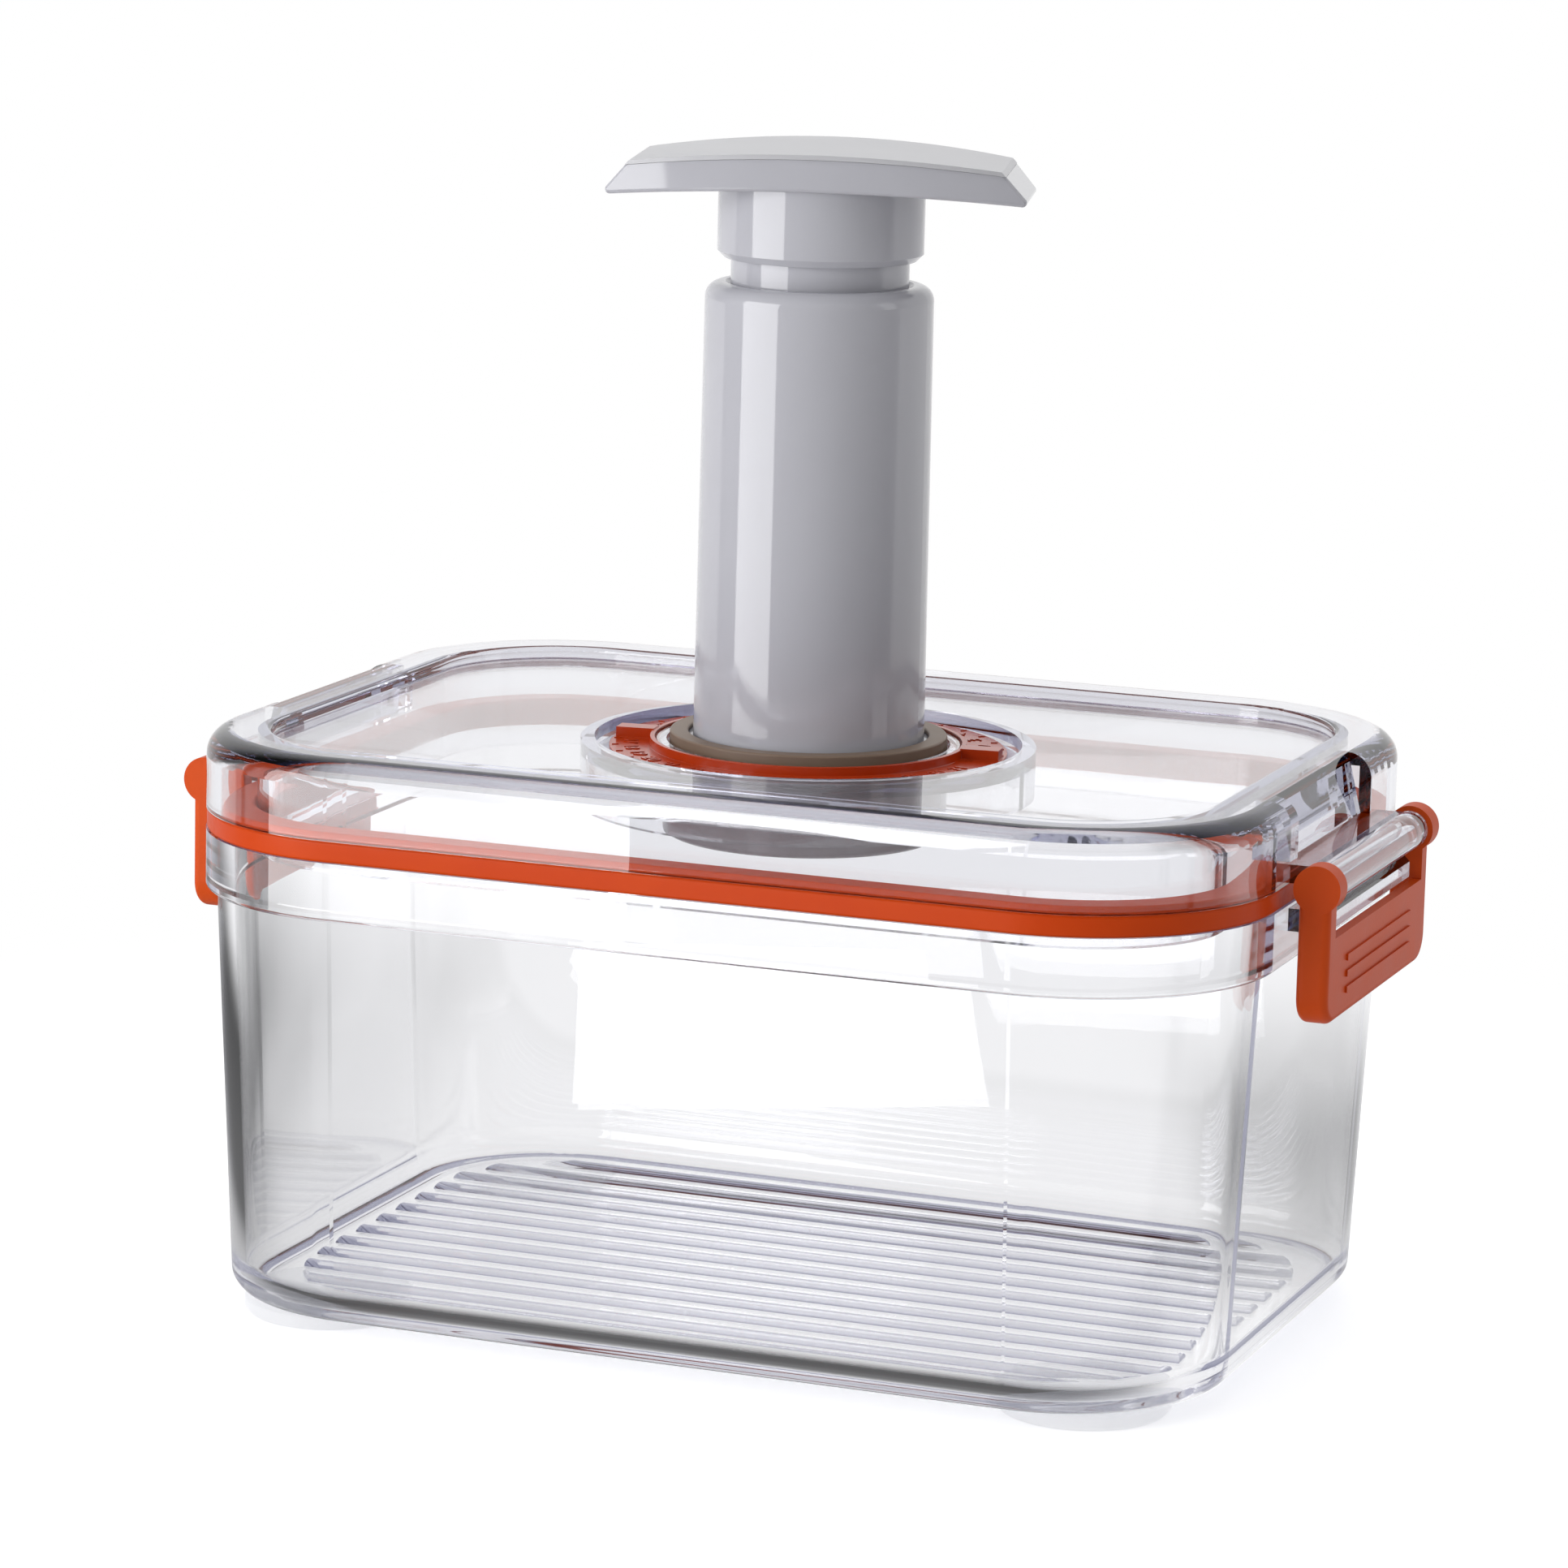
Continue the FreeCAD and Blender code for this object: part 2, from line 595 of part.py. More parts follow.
facets = sketch(lid, "facets", "XZ_Plane")
for side in ("", "-"):
    outline(facets, tuple((f"{side}({x})", z) for x, z in (
        ("half_length - facet_bottom_inset", "web_top_z"),
        ("half_length + lid_shoulder", "web_top_z"),
        ("half_length + lid_shoulder", "lid_top_z + lid_shoulder"),
        ("half_length - facet_top_inset", "lid_top_z"),
    )))
extrude(lid, "Pocket", facets, "facet_width", both_ways=True)
hinge_webs = sketch(lid, "hinge_webs", "XZ_Plane")
for side in ("", "-"):
    rectangle(hinge_webs, f"{side}(half_length - skirt_wall)", f"{side}hinge_x", "skirt_z", "web_top_z")
extrude(lid, "Pad", hinge_webs, "bar_length", both_ways=True)
hinge_bars = sketch(lid, "hinge_bars", "XZ_Plane")
hinge_pins = sketch(lid, "hinge_pins", "XZ_Plane")
for side in ("", "-"):
    circle(hinge_bars, "bar_diameter / 2", f"{side}hinge_x", "hinge_z")
    circle(hinge_pins, "pin_diameter / 2", f"{side}hinge_x", "hinge_z")
extrude(lid, "Pad", hinge_bars, "bar_length", both_ways=True)
extrude(lid, "Pad", hinge_pins, "bar_length + 2 * pin_length", both_ways=True)
well_drum = sketch(lid, "well_drum", "XY_Plane", "well_under_z - well_skirt")
circle(well_drum, "well_radius + well_wall")
extrude(lid, "Pad", well_drum, "deck_z - well_under_z + well_skirt")
well_cup = sketch(lid, "well_cup", "XY_Plane", "deck_z")
circle(well_cup, "well_radius")
extrude(lid, "Pocket", well_cup, "well_depth")
well_below = sketch(lid, "well_below", "XY_Plane", "well_under_z - well_skirt")
circle(well_below, "well_radius")
extrude(lid, "Pocket", well_below, "well_skirt", turn_round=True)
valve_boss = sketch(lid, "valve_boss", "XY_Plane", "well_under_z - boss_depth")
circle(valve_boss, "boss_radius")
circle(valve_boss, "boss_radius - boss_wall")
extrude(lid, "Pad", valve_boss, "boss_depth")
guide_ring = sketch(lid, "guide_ring", "XY_Plane", "well_floor_z")
circle(guide_ring, "guide_radius")
circle(guide_ring, "guide_radius - guide_wall")
extrude(lid, "Pad", guide_ring, "guide_height + guide_lip")
guide_bead = sketch(lid, "guide_bead", "XY_Plane", "guide_top_z")
circle(guide_bead, "guide_radius + guide_lip")
circle(guide_bead, "guide_radius - guide_wall")
extrude(lid, "Pad", guide_bead, "guide_lip")
vent_bore = sketch(lid, "vent_bore", "XY_Plane", "well_floor_z")
circle(vent_bore, "vent_hole / 2")
extrude(lid, "Pocket", vent_bore, "well_wall")

# Gasket: a flange between rim and skirt, with a bead that stands in the lid's channel
lid_gasket = new_body("lid_gasket")
gasket_flange = sketch(lid_gasket, "gasket_flange", "XY_Plane", "rim_z")
rounded(gasket_flange, "lid_length", "lid_depth", "lid_corner", "gasket_inset")
rounded(gasket_flange, "lid_length", "lid_depth", "lid_corner", "channel_inset - gasket_clearance")
extrude(lid_gasket, "Pad", gasket_flange, "gasket_flange")
gasket_bead = sketch(lid_gasket, "gasket_bead", "XY_Plane", "skirt_z")
rounded(gasket_bead, "lid_length", "lid_depth", "lid_corner", "skirt_wall + gasket_clearance")
rounded(gasket_bead, "lid_length", "lid_depth", "lid_corner", "channel_inset - gasket_clearance")
extrude(lid_gasket, "Pad", gasket_bead, "gasket_rise")

# Clips: two arms with eyes on the hinge bar's pins, joined by a plate that goes under the nose
clip_right = new_body("clip_right")
clip_side = sketch(clip_right, "clip_side", "XZ_Plane")
rectangle(clip_side, "clip_inner_x", "clip_face_x", "clip_z", "hinge_z")
extrude(clip_right, "Pad", clip_side, "clip_width", both_ways=True)
fillet(clip_right, "clip_corner_round", "clip_corner",
       lambda edge: level(edge, "clip_z") and edge.BoundBox.YLength < TOUCH)
fillet(clip_right, "clip_edge_round", "clip_edge",
       lambda edge: edge.BoundBox.XLength < TOUCH and not level(edge, "hinge_z"))
clip_heads = sketch(clip_right, "clip_heads", "XZ_Plane")
circle(clip_heads, "clip_head / 2", "hinge_x", "hinge_z")
extrude(clip_right, "Pad", clip_heads, "clip_width", both_ways=True)
clip_window = sketch(clip_right, "clip_window", "XZ_Plane")
outline(clip_window, (
    ("clip_inner_x - clip_head", "clip_z - clip_plate"),
    ("plate_x", "clip_z - clip_plate"),
    ("plate_x", "plate_top_z"),
    ("clip_face_x + clip_head", "plate_top_z"),
    ("clip_face_x + clip_head", "hinge_z + clip_head"),
    ("clip_inner_x - clip_head", "hinge_z + clip_head"),
))
extrude(clip_right, "Pocket", clip_window, "window_width", both_ways=True)
clip_eyes = sketch(clip_right, "clip_eyes", "XZ_Plane")
circle(clip_eyes, "pin_diameter / 2 + pin_fit", "hinge_x", "hinge_z")
extrude(clip_right, "Pocket", clip_eyes, "bar_length + 2 * (pin_length + clip_side_gap)", both_ways=True)
clip_grip = sketch(clip_right, "clip_grip", "YZ_Plane", "clip_face_x")
for ridge in range(int(value("grip_count"))):
    ridge_z = f"grip_z + {ridge} * grip_pitch"
    rectangle(clip_grip, "-grip_length / 2", "grip_length / 2", ridge_z, f"{ridge_z} + grip_height")
extrude(clip_right, "Pad", clip_grip, "grip_rise")
clip_left = doc.addObject("Part::Mirroring", "clip_left")
clip_left.Label = "clip_left"
clip_left.Source = clip_right
clip_left.Normal = FreeCAD.Vector(1, 0, 0)

# Date dial: a ring held under the guide's bead, with a flange for the numbers and two finger tabs
date_dial = turned("date_dial", (
    ("dial_bore", "well_floor_z"),
    ("dial_radius", "well_floor_z"),
    ("dial_radius", "well_floor_z + dial_flange"),
    ("dial_ring_radius", "well_floor_z + dial_flange"),
    ("dial_ring_radius", "well_floor_z + dial_ring_height"),
    ("dial_counterbore", "well_floor_z + dial_ring_height"),
    ("dial_counterbore", "dial_step_z"),
    ("dial_bore", "dial_step_z"),
))
dial_tabs = sketch(date_dial, "dial_tabs", "XY_Plane", "well_floor_z + dial_flange")
for side in ("", "-"):
    rectangle(dial_tabs,
              f"{side}(dial_ring_radius - tab_margin / 2)", f"{side}(dial_radius - tab_margin)",
              "-tab_width / 2", "tab_width / 2")
extrude(date_dial, "Pad", dial_tabs, "tab_height")
turn_about_z(date_dial, "dial_turn")

# Vent valve: a soft button on the well's floor, with a stem and a bulb that keeps it in its hole
vent_stop = "well_under_z - vent_lift - valve_gap"
vent_valve = turned("vent_valve", (
    ("0", "well_floor_z + vent_height"),
    ("0", f"{vent_stop} - vent_bulb_height"),
    ("vent_stem / 2", f"{vent_stop} - vent_bulb_height"),
    ("vent_bulb / 2", vent_stop),
    ("vent_stem / 2", vent_stop),
    ("vent_stem / 2", "well_floor_z"),
    ("vent_disc / 2", "well_floor_z"),
    ("vent_disc / 2", "well_floor_z + vent_disc_height"),
    ("vent_button / 2", "well_floor_z + vent_disc_height"),
    ("vent_button / 2", "well_floor_z + vent_height"),
))

# Valve cage: a cup with air holes, pressed on the boss under the well, that keeps food off the valve
valve_cage = turned("valve_cage", (
    ("0", "cage_z"),
    ("cage_diameter / 2 - cage_edge", "cage_z"),
    ("cage_diameter / 2", "cage_z + cage_edge"),
    ("cage_diameter / 2", "well_under_z"),
    ("cage_bore", "well_under_z"),
    ("cage_bore", "cage_z + cage_floor"),
    ("0", "cage_z + cage_floor"),
), {1: ("cage_edge", 1)})
cage_bores = sketch(valve_cage, "cage_bores", "XY_Plane", "cage_z + cage_floor")
circle(cage_bores, "cage_hole / 2", "cage_circle / 2", "0")
cage_cut = extrude(valve_cage, "Pocket", cage_bores, "cage_floor")
cage_ring = valve_cage.newObject("PartDesign::PolarPattern", "cage_ring")
cage_ring.Originals = [cage_cut]
cage_ring.Axis = (cage_bores, ["N_Axis"])
cage_ring.Angle = 360
cage_ring.setExpression("Occurrences", bound("cage_count"))
valve_cage.Tip = cage_ring

# Pump barrel: a drafted tube with a lip at its mouth that guides the rod and stops the piston
pump_barrel = turned("pump_barrel", (
    ("bore_radius", "barrel_z"),
    ("barrel_foot_diameter / 2", "barrel_z"),
    ("barrel_diameter / 2", "barrel_top_z"),
    ("mouth_radius + mouth_chamfer", "barrel_top_z"),
    ("mouth_radius", "barrel_top_z - mouth_chamfer"),
    ("mouth_radius", "barrel_top_z - barrel_lip"),
    ("bore_radius", "barrel_top_z - barrel_lip"),
))
fillet(pump_barrel, "barrel_shoulder_round", "barrel_shoulder",
       lambda edge: level(edge, "barrel_top_z") and wider(edge, "mouth_radius + mouth_chamfer"))

# Pump base: a flange under the barrel and a spigot in its bore, with inlet holes round the valve's stem
pump_base = turned("pump_base", (
    ("inlet_stem / 2 + inlet_fit", "base_under_z"),
    ("spigot_bore / 2", "base_under_z"),
    ("spigot_bore / 2", "flange_z"),
    ("base_flange / 2", "flange_z"),
    ("base_flange / 2", "barrel_z"),
    ("bore_radius - press_gap", "barrel_z"),
    ("bore_radius - press_gap", "base_top_z"),
    ("inlet_stem / 2 + inlet_fit", "base_top_z"),
))
inlet_bore = sketch(pump_base, "inlet_bore", "XY_Plane", "base_top_z")
circle(inlet_bore, "inlet_hole / 2", "inlet_circle / 2", "0")
inlet_cut = extrude(pump_base, "Pocket", inlet_bore, "base_plate")
inlet_ring = pump_base.newObject("PartDesign::PolarPattern", "inlet_ring")
inlet_ring.Originals = [inlet_cut]
inlet_ring.Axis = (inlet_bore, ["N_Axis"])
inlet_ring.Angle = 360
inlet_ring.setExpression("Occurrences", bound("inlet_count"))
pump_base.Tip = inlet_ring

# Foot seal: a soft ring stretched over the base's flange, which stands on the well's floor
pump_foot_seal = turned("pump_foot_seal", (
    ("seal_bore / 2", "well_floor_z"),
    ("seal_diameter / 2", "well_floor_z"),
    ("seal_diameter / 2", "barrel_z + seal_collar"),
    ("seal_mouth / 2", "barrel_z + seal_collar"),
    ("seal_mouth / 2", "barrel_z"),
    ("base_flange / 2 + press_gap", "barrel_z"),
    ("base_flange / 2 + press_gap", "flange_z"),
    ("seal_bore / 2", "flange_z"),
))

# Inlet valve: a soft umbrella over the inlet holes
inlet_stop = "base_under_z - inlet_lift - valve_gap"
inlet_valve = turned("inlet_valve", (
    ("0", "base_top_z + inlet_disc_height"),
    ("0", f"{inlet_stop} - inlet_bulb_height"),
    ("inlet_stem / 2", f"{inlet_stop} - inlet_bulb_height"),
    ("inlet_bulb / 2", inlet_stop),
    ("inlet_stem / 2", inlet_stop),
    ("inlet_stem / 2", "base_top_z"),
    ("inlet_disc / 2", "base_top_z"),
    ("inlet_disc / 2", "base_top_z + inlet_disc_height / 2"),
    ("inlet_stem / 2", "base_top_z + inlet_disc_height"),
))

# Piston and its seal: a hollow head with a groove, and a spigot that stands in the rod
piston = turned("piston", (
    ("0", "piston_z"),
    ("piston_radius", "piston_z"),
    ("piston_radius", "groove_z"),
    ("groove_radius", "groove_z"),
    ("groove_radius", "groove_top_z"),
    ("piston_radius", "groove_top_z"),
    ("piston_radius", "piston_top_z"),
    ("rod_bore - press_gap", "piston_top_z"),
    ("rod_bore - press_gap", "piston_top_z + piston_spigot"),
    ("rod_bore - press_gap - piston_wall", "piston_top_z + piston_spigot"),
    ("rod_bore - press_gap - piston_wall", "piston_z + piston_wall"),
    ("0", "piston_z + piston_wall"),
))
piston_seal = turned("piston_seal", (
    ("groove_radius + press_gap", "groove_z + seal_play"),
    ("bore_radius - seal_fit", "groove_z + seal_play"),
    ("bore_radius - seal_fit", "groove_top_z - seal_play"),
    ("groove_radius + press_gap", "groove_top_z - seal_play"),
))

# Plunger rod: a tube from the piston up into the neck, closed at its top for the screws
plunger_rod = turned("plunger_rod", (
    ("rod_bore", "piston_top_z"),
    ("rod_radius", "piston_top_z"),
    ("rod_radius", "rod_top_z"),
    ("0", "rod_top_z"),
    ("0", "rod_top_z - rod_top"),
    ("rod_bore", "rod_top_z - rod_top"),
))
rod_pilots = sketch(plunger_rod, "rod_pilots", "XY_Plane", "rod_top_z")
for side in ("", "-"):
    circle(rod_pilots, "screw_diameter / 2 + screw_fit", f"{side}screw_offset", "0")
extrude(plunger_rod, "Pocket", rod_pilots, "rod_top")
turn_about_z(plunger_rod, "handle_turn")


def lens(made, spread="0"):
    """Plan of the cross bar: straight ends and bowed long sides, with a spread all along the sides."""
    x, y = "handle_length / 2", f"(handle_depth / 2 + {spread})"
    outline(made, ((f"-{x}", f"-{y}"), (x, f"-{y}"), (x, y), (f"-{x}", y)),
            {0: ("belly_radius", 1), 2: ("belly_radius", 1)})


def trim_to_lens(body, name, spread):
    """Cut a bar's sides away outside its plan."""
    trim = sketch(body, name, "XY_Plane", "neck_z")
    rectangle(trim, "-handle_length", "handle_length", "-handle_length", "handle_length")
    lens(trim, spread)
    extrude(body, "Pocket", trim, "corner_z + handle_length - neck_z", turn_round=True)


# Handle: an arched cross bar with sloping ends, on a neck that takes the rod
handle = new_body("handle")
bar_side = sketch(handle, "bar_side", "XZ_Plane")
outline(bar_side, (
    ("-handle_length / 2", "tip_z"),
    ("handle_length / 2", "tip_z"),
    ("cover_seat_half", "seat_z"),
    ("-cover_seat_half", "seat_z"),
), {0: ("under_radius", -1), 2: ("seat_radius", 1)})
extrude(handle, "Pad", bar_side, "handle_length", both_ways=True)
trim_to_lens(handle, "bar_trim", "0")
fillet(handle, "bar_round", "handle_edge",
       lambda edge: abs(edge.BoundBox.ZMin - value("tip_z")) < TOUCH)
neck_ring = sketch(handle, "neck_ring", "XY_Plane", "neck_z")
circle(neck_ring, "neck_diameter / 2")
extrude(handle, "Pad", neck_ring, "neck_height + handle_under_arch")
neck_bore = sketch(handle, "neck_bore", "XY_Plane", "neck_z")
circle(neck_bore, "rod_radius + press_gap")
extrude(handle, "Pocket", neck_bore, "neck_socket", turn_round=True)
doc.recompute()
neck_bevel = handle.newObject("PartDesign::Chamfer", "neck_bevel")
neck_rims = [f"Edge{index}" for index, edge in enumerate(handle.Shape.Edges, start=1)
             if level(edge, "neck_z") and wider(edge, "rod_radius + press_gap")]
neck_bevel.Base = (handle.getObject("neck_bore_pocket"), neck_rims)
neck_bevel.setExpression("Size", bound("neck_chamfer"))
screw_bores = sketch(handle, "screw_bores", "XY_Plane", "rod_top_z")
screw_sinks = sketch(handle, "screw_sinks", "XY_Plane", "screw_seat_z")
for side in ("", "-"):
    circle(screw_bores, "screw_diameter / 2 + screw_fit", f"{side}screw_offset", "0")
    circle(screw_sinks, "counterbore / 2", f"{side}screw_offset", "0")
extrude(handle, "Pocket", screw_bores, "screw_floor", turn_round=True)
extrude(handle, "Pocket", screw_sinks, "corner_z - screw_seat_z + handle_top_arch", turn_round=True)
turn_about_z(handle, "handle_turn")

# Handle cover: a thin arched cap with two pegs that stand in the screw holes
handle_cover = new_body("handle_cover")
cover_side = sketch(handle_cover, "cover_side", "XZ_Plane")
outline(cover_side, (
    ("-cover_seat_half", "seat_z + cover_gap"),
    ("cover_seat_half", "seat_z + cover_gap"),
    ("handle_top_length / 2", "corner_z"),
    ("-handle_top_length / 2", "corner_z"),
), {0: ("seat_radius", -1), 2: ("top_radius", 1)})
extrude(handle_cover, "Pad", cover_side, "handle_length", both_ways=True)
trim_to_lens(handle_cover, "cover_trim", "cover_lip")
cover_pegs = sketch(handle_cover, "cover_pegs", "XY_Plane", "cover_peg_z")
for side in ("", "-"):
    circle(cover_pegs, "counterbore / 2 - cover_peg_gap", f"{side}screw_offset", "0")
extrude(handle_cover, "Pad", cover_pegs, "seat_z - cover_peg_z + handle_top_arch + cover_thickness / 2")
turn_about_z(handle_cover, "handle_turn")

# Handle screws: two pan heads that hold the neck on the rod
handle_screws = new_body("handle_screws")
screw_shanks = sketch(handle_screws, "screw_shanks", "XY_Plane", "screw_seat_z - screw_floor - screw_bite")
screw_heads = sketch(handle_screws, "screw_heads", "XY_Plane", "screw_seat_z")
for side in ("", "-"):
    circle(screw_shanks, "screw_diameter / 2", f"{side}screw_offset", "0")
    circle(screw_heads, "screw_head / 2", f"{side}screw_offset", "0")
extrude(handle_screws, "Pad", screw_shanks, "screw_floor + screw_bite")
extrude(handle_screws, "Pad", screw_heads, "screw_head_height")
turn_about_z(handle_screws, "handle_turn")

doc.recompute()
nodes = [tub, *feet, lid, lid_gasket, clip_left, clip_right, date_dial, vent_valve, valve_cage, pump_barrel,
         pump_base, pump_foot_seal, inlet_valve, plunger_rod, piston, piston_seal, handle, handle_cover,
         handle_screws]
for thing in doc.Objects:
    if {"Invalid", "Error"} & set(thing.State):
        raise RuntimeError(f"{thing.Name} did not build: {thing.State}")
for node in nodes:
    if node.Shape.isNull() or not node.Shape.isValid() or not node.Shape.Solids:
        raise RuntimeError(f"{node.Label} has no sound solid")
for node in nodes:
    node.Shape.exportStep(os.path.join("parts", f"{node.Label}.step"))
    box = node.Shape.BoundBox
    print(f"{node.Label:18s} solids {len(node.Shape.Solids)}  volume {node.Shape.Volume:9.0f}  "
          f"x {box.XMin:7.1f} {box.XMax:7.1f}  "
          f"y {box.YMin:7.1f} {box.YMax:7.1f}  "
          f"z {box.ZMin:6.1f} {box.ZMax:6.1f}")
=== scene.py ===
import math

import bmesh
import bpy
from mathutils import Euler, Matrix, Vector


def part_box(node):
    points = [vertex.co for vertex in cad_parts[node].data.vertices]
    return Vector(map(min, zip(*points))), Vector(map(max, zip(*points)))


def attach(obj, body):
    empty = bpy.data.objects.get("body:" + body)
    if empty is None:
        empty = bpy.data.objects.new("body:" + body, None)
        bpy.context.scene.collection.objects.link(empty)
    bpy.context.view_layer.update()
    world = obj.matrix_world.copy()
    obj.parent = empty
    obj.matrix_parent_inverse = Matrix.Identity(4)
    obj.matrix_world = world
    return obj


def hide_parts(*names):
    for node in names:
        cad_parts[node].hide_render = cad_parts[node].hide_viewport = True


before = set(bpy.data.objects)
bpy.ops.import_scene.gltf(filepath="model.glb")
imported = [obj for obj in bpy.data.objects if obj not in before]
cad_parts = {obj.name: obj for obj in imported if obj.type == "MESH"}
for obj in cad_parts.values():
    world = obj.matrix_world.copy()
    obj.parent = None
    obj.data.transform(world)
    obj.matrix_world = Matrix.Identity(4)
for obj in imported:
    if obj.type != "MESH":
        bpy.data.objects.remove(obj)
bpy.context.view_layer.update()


# Tub: a clear open box with a collar, a ribbed floor and a catch nose on each short side.
# Moulded in one shot from clear SAN in a polished mould.
def linear(code):
    """sRGB hex code as a linear colour."""
    parts = [int(code[i:i + 2], 16) / 255 for i in (1, 3, 5)]
    return (*[c / 12.92 if c <= 0.04045 else ((c + 0.055) / 1.055) ** 2.4 for c in parts], 1.0)


def add_node(tree, kind, inputs=None, **settings):
    """A node with its settings, its inputs set to a value or linked to a socket."""
    made = tree.nodes.new(kind)
    for name, setting in settings.items():
        setattr(made, name, setting)
    for name, source in (inputs or {}).items():
        if isinstance(source, bpy.types.NodeSocket):
            tree.links.new(source, made.inputs[name])
        else:
            made.inputs[name].default_value = source
    return made


def new_material(name):
    """An empty node material with its output node and Object coordinates."""
    material = bpy.data.materials.new(name)
    material.use_nodes = True
    tree = material.node_tree
    tree.nodes.clear()
    output = add_node(tree, "ShaderNodeOutputMaterial")
    place = add_node(tree, "ShaderNodeTexCoord").outputs["Object"]
    return material, tree, output, place


def dress(material, *names):
    """Gives the CAD pieces their finish."""
    for name in names:
        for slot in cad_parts[name].material_slots:
            slot.material = material


# Polished clear SAN: colourless face on and smoke grey where the eye runs along a wall,
# with the slow waviness of a moulded sheet about 30 mm from crest to crest. Light that runs on
# inside a wall ends in a painted pale glow, which the plastic gives off though it is no lamp.
WAVE_LENGTH = 0.030
HAZE_PATCH = 0.008


def clear_san(name, turns, painted_glow_level, density):
    """Clear SAN whose light ends in a painted glow this bright after so many turns, with a tint this dense.
    """
    material, tree, output, place = new_material(name)
    wave = add_node(tree, "ShaderNodeTexNoise", {"Vector": place, "Scale": 1 / WAVE_LENGTH, "Detail": 1.0})
    wavy = add_node(tree, "ShaderNodeBump", {
        "Height": wave.outputs["Fac"], "Strength": 0.05, "Distance": 0.0004})
    haze = add_node(tree, "ShaderNodeTexNoise", {"Vector": place, "Scale": 1 / HAZE_PATCH, "Detail": 3.0})
    dull = add_node(tree, "ShaderNodeMapRange", {
        "Value": haze.outputs["Fac"], "From Min": 0.45, "From Max": 0.75, "To Min": 0.0, "To Max": 0.03})
    glass = add_node(tree, "ShaderNodeBsdfPrincipled", {
        "Base Color": (1, 1, 1, 1), "Roughness": dull.outputs["Result"], "IOR": 1.57,
        "Transmission Weight": 1.0, "Normal": wavy.outputs["Normal"]})
    through = add_node(tree, "ShaderNodeBsdfTransparent", {"Color": linear("#F2F3F6")})
    ray = add_node(tree, "ShaderNodeLightPath")
    lamp_light = add_node(tree, "ShaderNodeMixShader", {
        0: ray.outputs["Is Shadow Ray"], 1: glass.outputs[0], 2: through.outputs[0]})
    deep = add_node(tree, "ShaderNodeMath", {0: ray.outputs["Ray Depth"], 1: turns}, operation="GREATER_THAN")
    # Painted glow: pale light that the plastic gives off where a path has turned too often.
    pale = add_node(tree, "ShaderNodeEmission", {"Color": linear("#F4F4FA"), "Strength": painted_glow_level})
    ended = add_node(tree, "ShaderNodeMixShader", {
        0: deep.outputs[0], 1: lamp_light.outputs[0], 2: pale.outputs[0]})
    tree.links.new(ended.outputs[0], output.inputs["Surface"])
    tint = add_node(tree, "ShaderNodeVolumeAbsorption", {"Color": linear("#B0B2CA"), "Density": density})
    tree.links.new(tint.outputs[0], output.inputs["Volume"])
    return material


dress(clear_san("clear_SAN_polished", turns=12.0, painted_glow_level=0.85, density=23.0), "tub")


# Feet: four round pads under the tub's corners, which keep it from sliding.
# Clear silicone, a little milky, pressed into shallow seats.
BLOOM_PATCH = 0.003
# Clear silicone: nearly see-through, with a soft and uneven shine.
clear_silicone, tree, output, place = new_material("clear_silicone")
bloom = add_node(tree, "ShaderNodeTexNoise", {"Vector": place, "Scale": 1 / BLOOM_PATCH, "Detail": 4.0})
dull = add_node(tree, "ShaderNodeMapRange", {"Value": bloom.outputs["Fac"], "To Min": 0.15, "To Max": 0.30})
pad = add_node(tree, "ShaderNodeBsdfPrincipled", {
    "Base Color": linear("#F2F3F5"), "Roughness": dull.outputs["Result"], "IOR": 1.41, "Alpha": 0.16})
tree.links.new(pad.outputs[0], output.inputs["Surface"])
dress(clear_silicone, "foot_front_left", "foot_front_right", "foot_back_left", "foot_back_right")


# Lid: a raised rim, a sunk deck, a round well for the pump and a bar for each clip.
# Clear SAN as on the tub, a little smokier, moulded in one shot.
dress(clear_san("clear_SAN_lid_polished", turns=40.0, painted_glow_level=0.30, density=45.0), "lid")


# Gasket: the seal between the lid's skirt and the tub's rim.
# Orange silicone with soft edges, moulded as one loop and stretched into the lid's groove.
def softened(name, width, material, body):
    """Copy of a CAD piece with its sharp edges rounded, which stands for it."""
    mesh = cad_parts[name].data.copy()
    shape = bmesh.new()
    shape.from_mesh(mesh)
    bmesh.ops.remove_doubles(shape, verts=shape.verts, dist=1e-6)
    bmesh.ops.dissolve_limit(shape, angle_limit=math.radians(0.5), verts=shape.verts, edges=shape.edges)
    shape.to_mesh(mesh)
    shape.free()
    piece = bpy.data.objects.new(f"{name}_rounded", mesh)
    bpy.context.scene.collection.objects.link(piece)
    edges = piece.modifiers.new("edges", "BEVEL")
    edges.width = width
    edges.segments = 3
    edges.limit_method = "ANGLE"
    edges.angle_limit = math.radians(35)
    even = piece.modifiers.new("even", "WEIGHTED_NORMAL")
    even.keep_sharp = True
    mesh.shade_smooth()
    ready = piece.evaluated_get(bpy.context.evaluated_depsgraph_get())
    rounded = bpy.data.meshes.new_from_object(ready)
    piece.modifiers.clear()
    piece.data = rounded
    rounded.materials.clear()
    rounded.materials.append(material)
    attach(piece, body)
    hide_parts(name)


GASKET_ROUNDING = 0.0007
GASKET_CLOUD = 0.012
GASKET_DUST = 0.0015
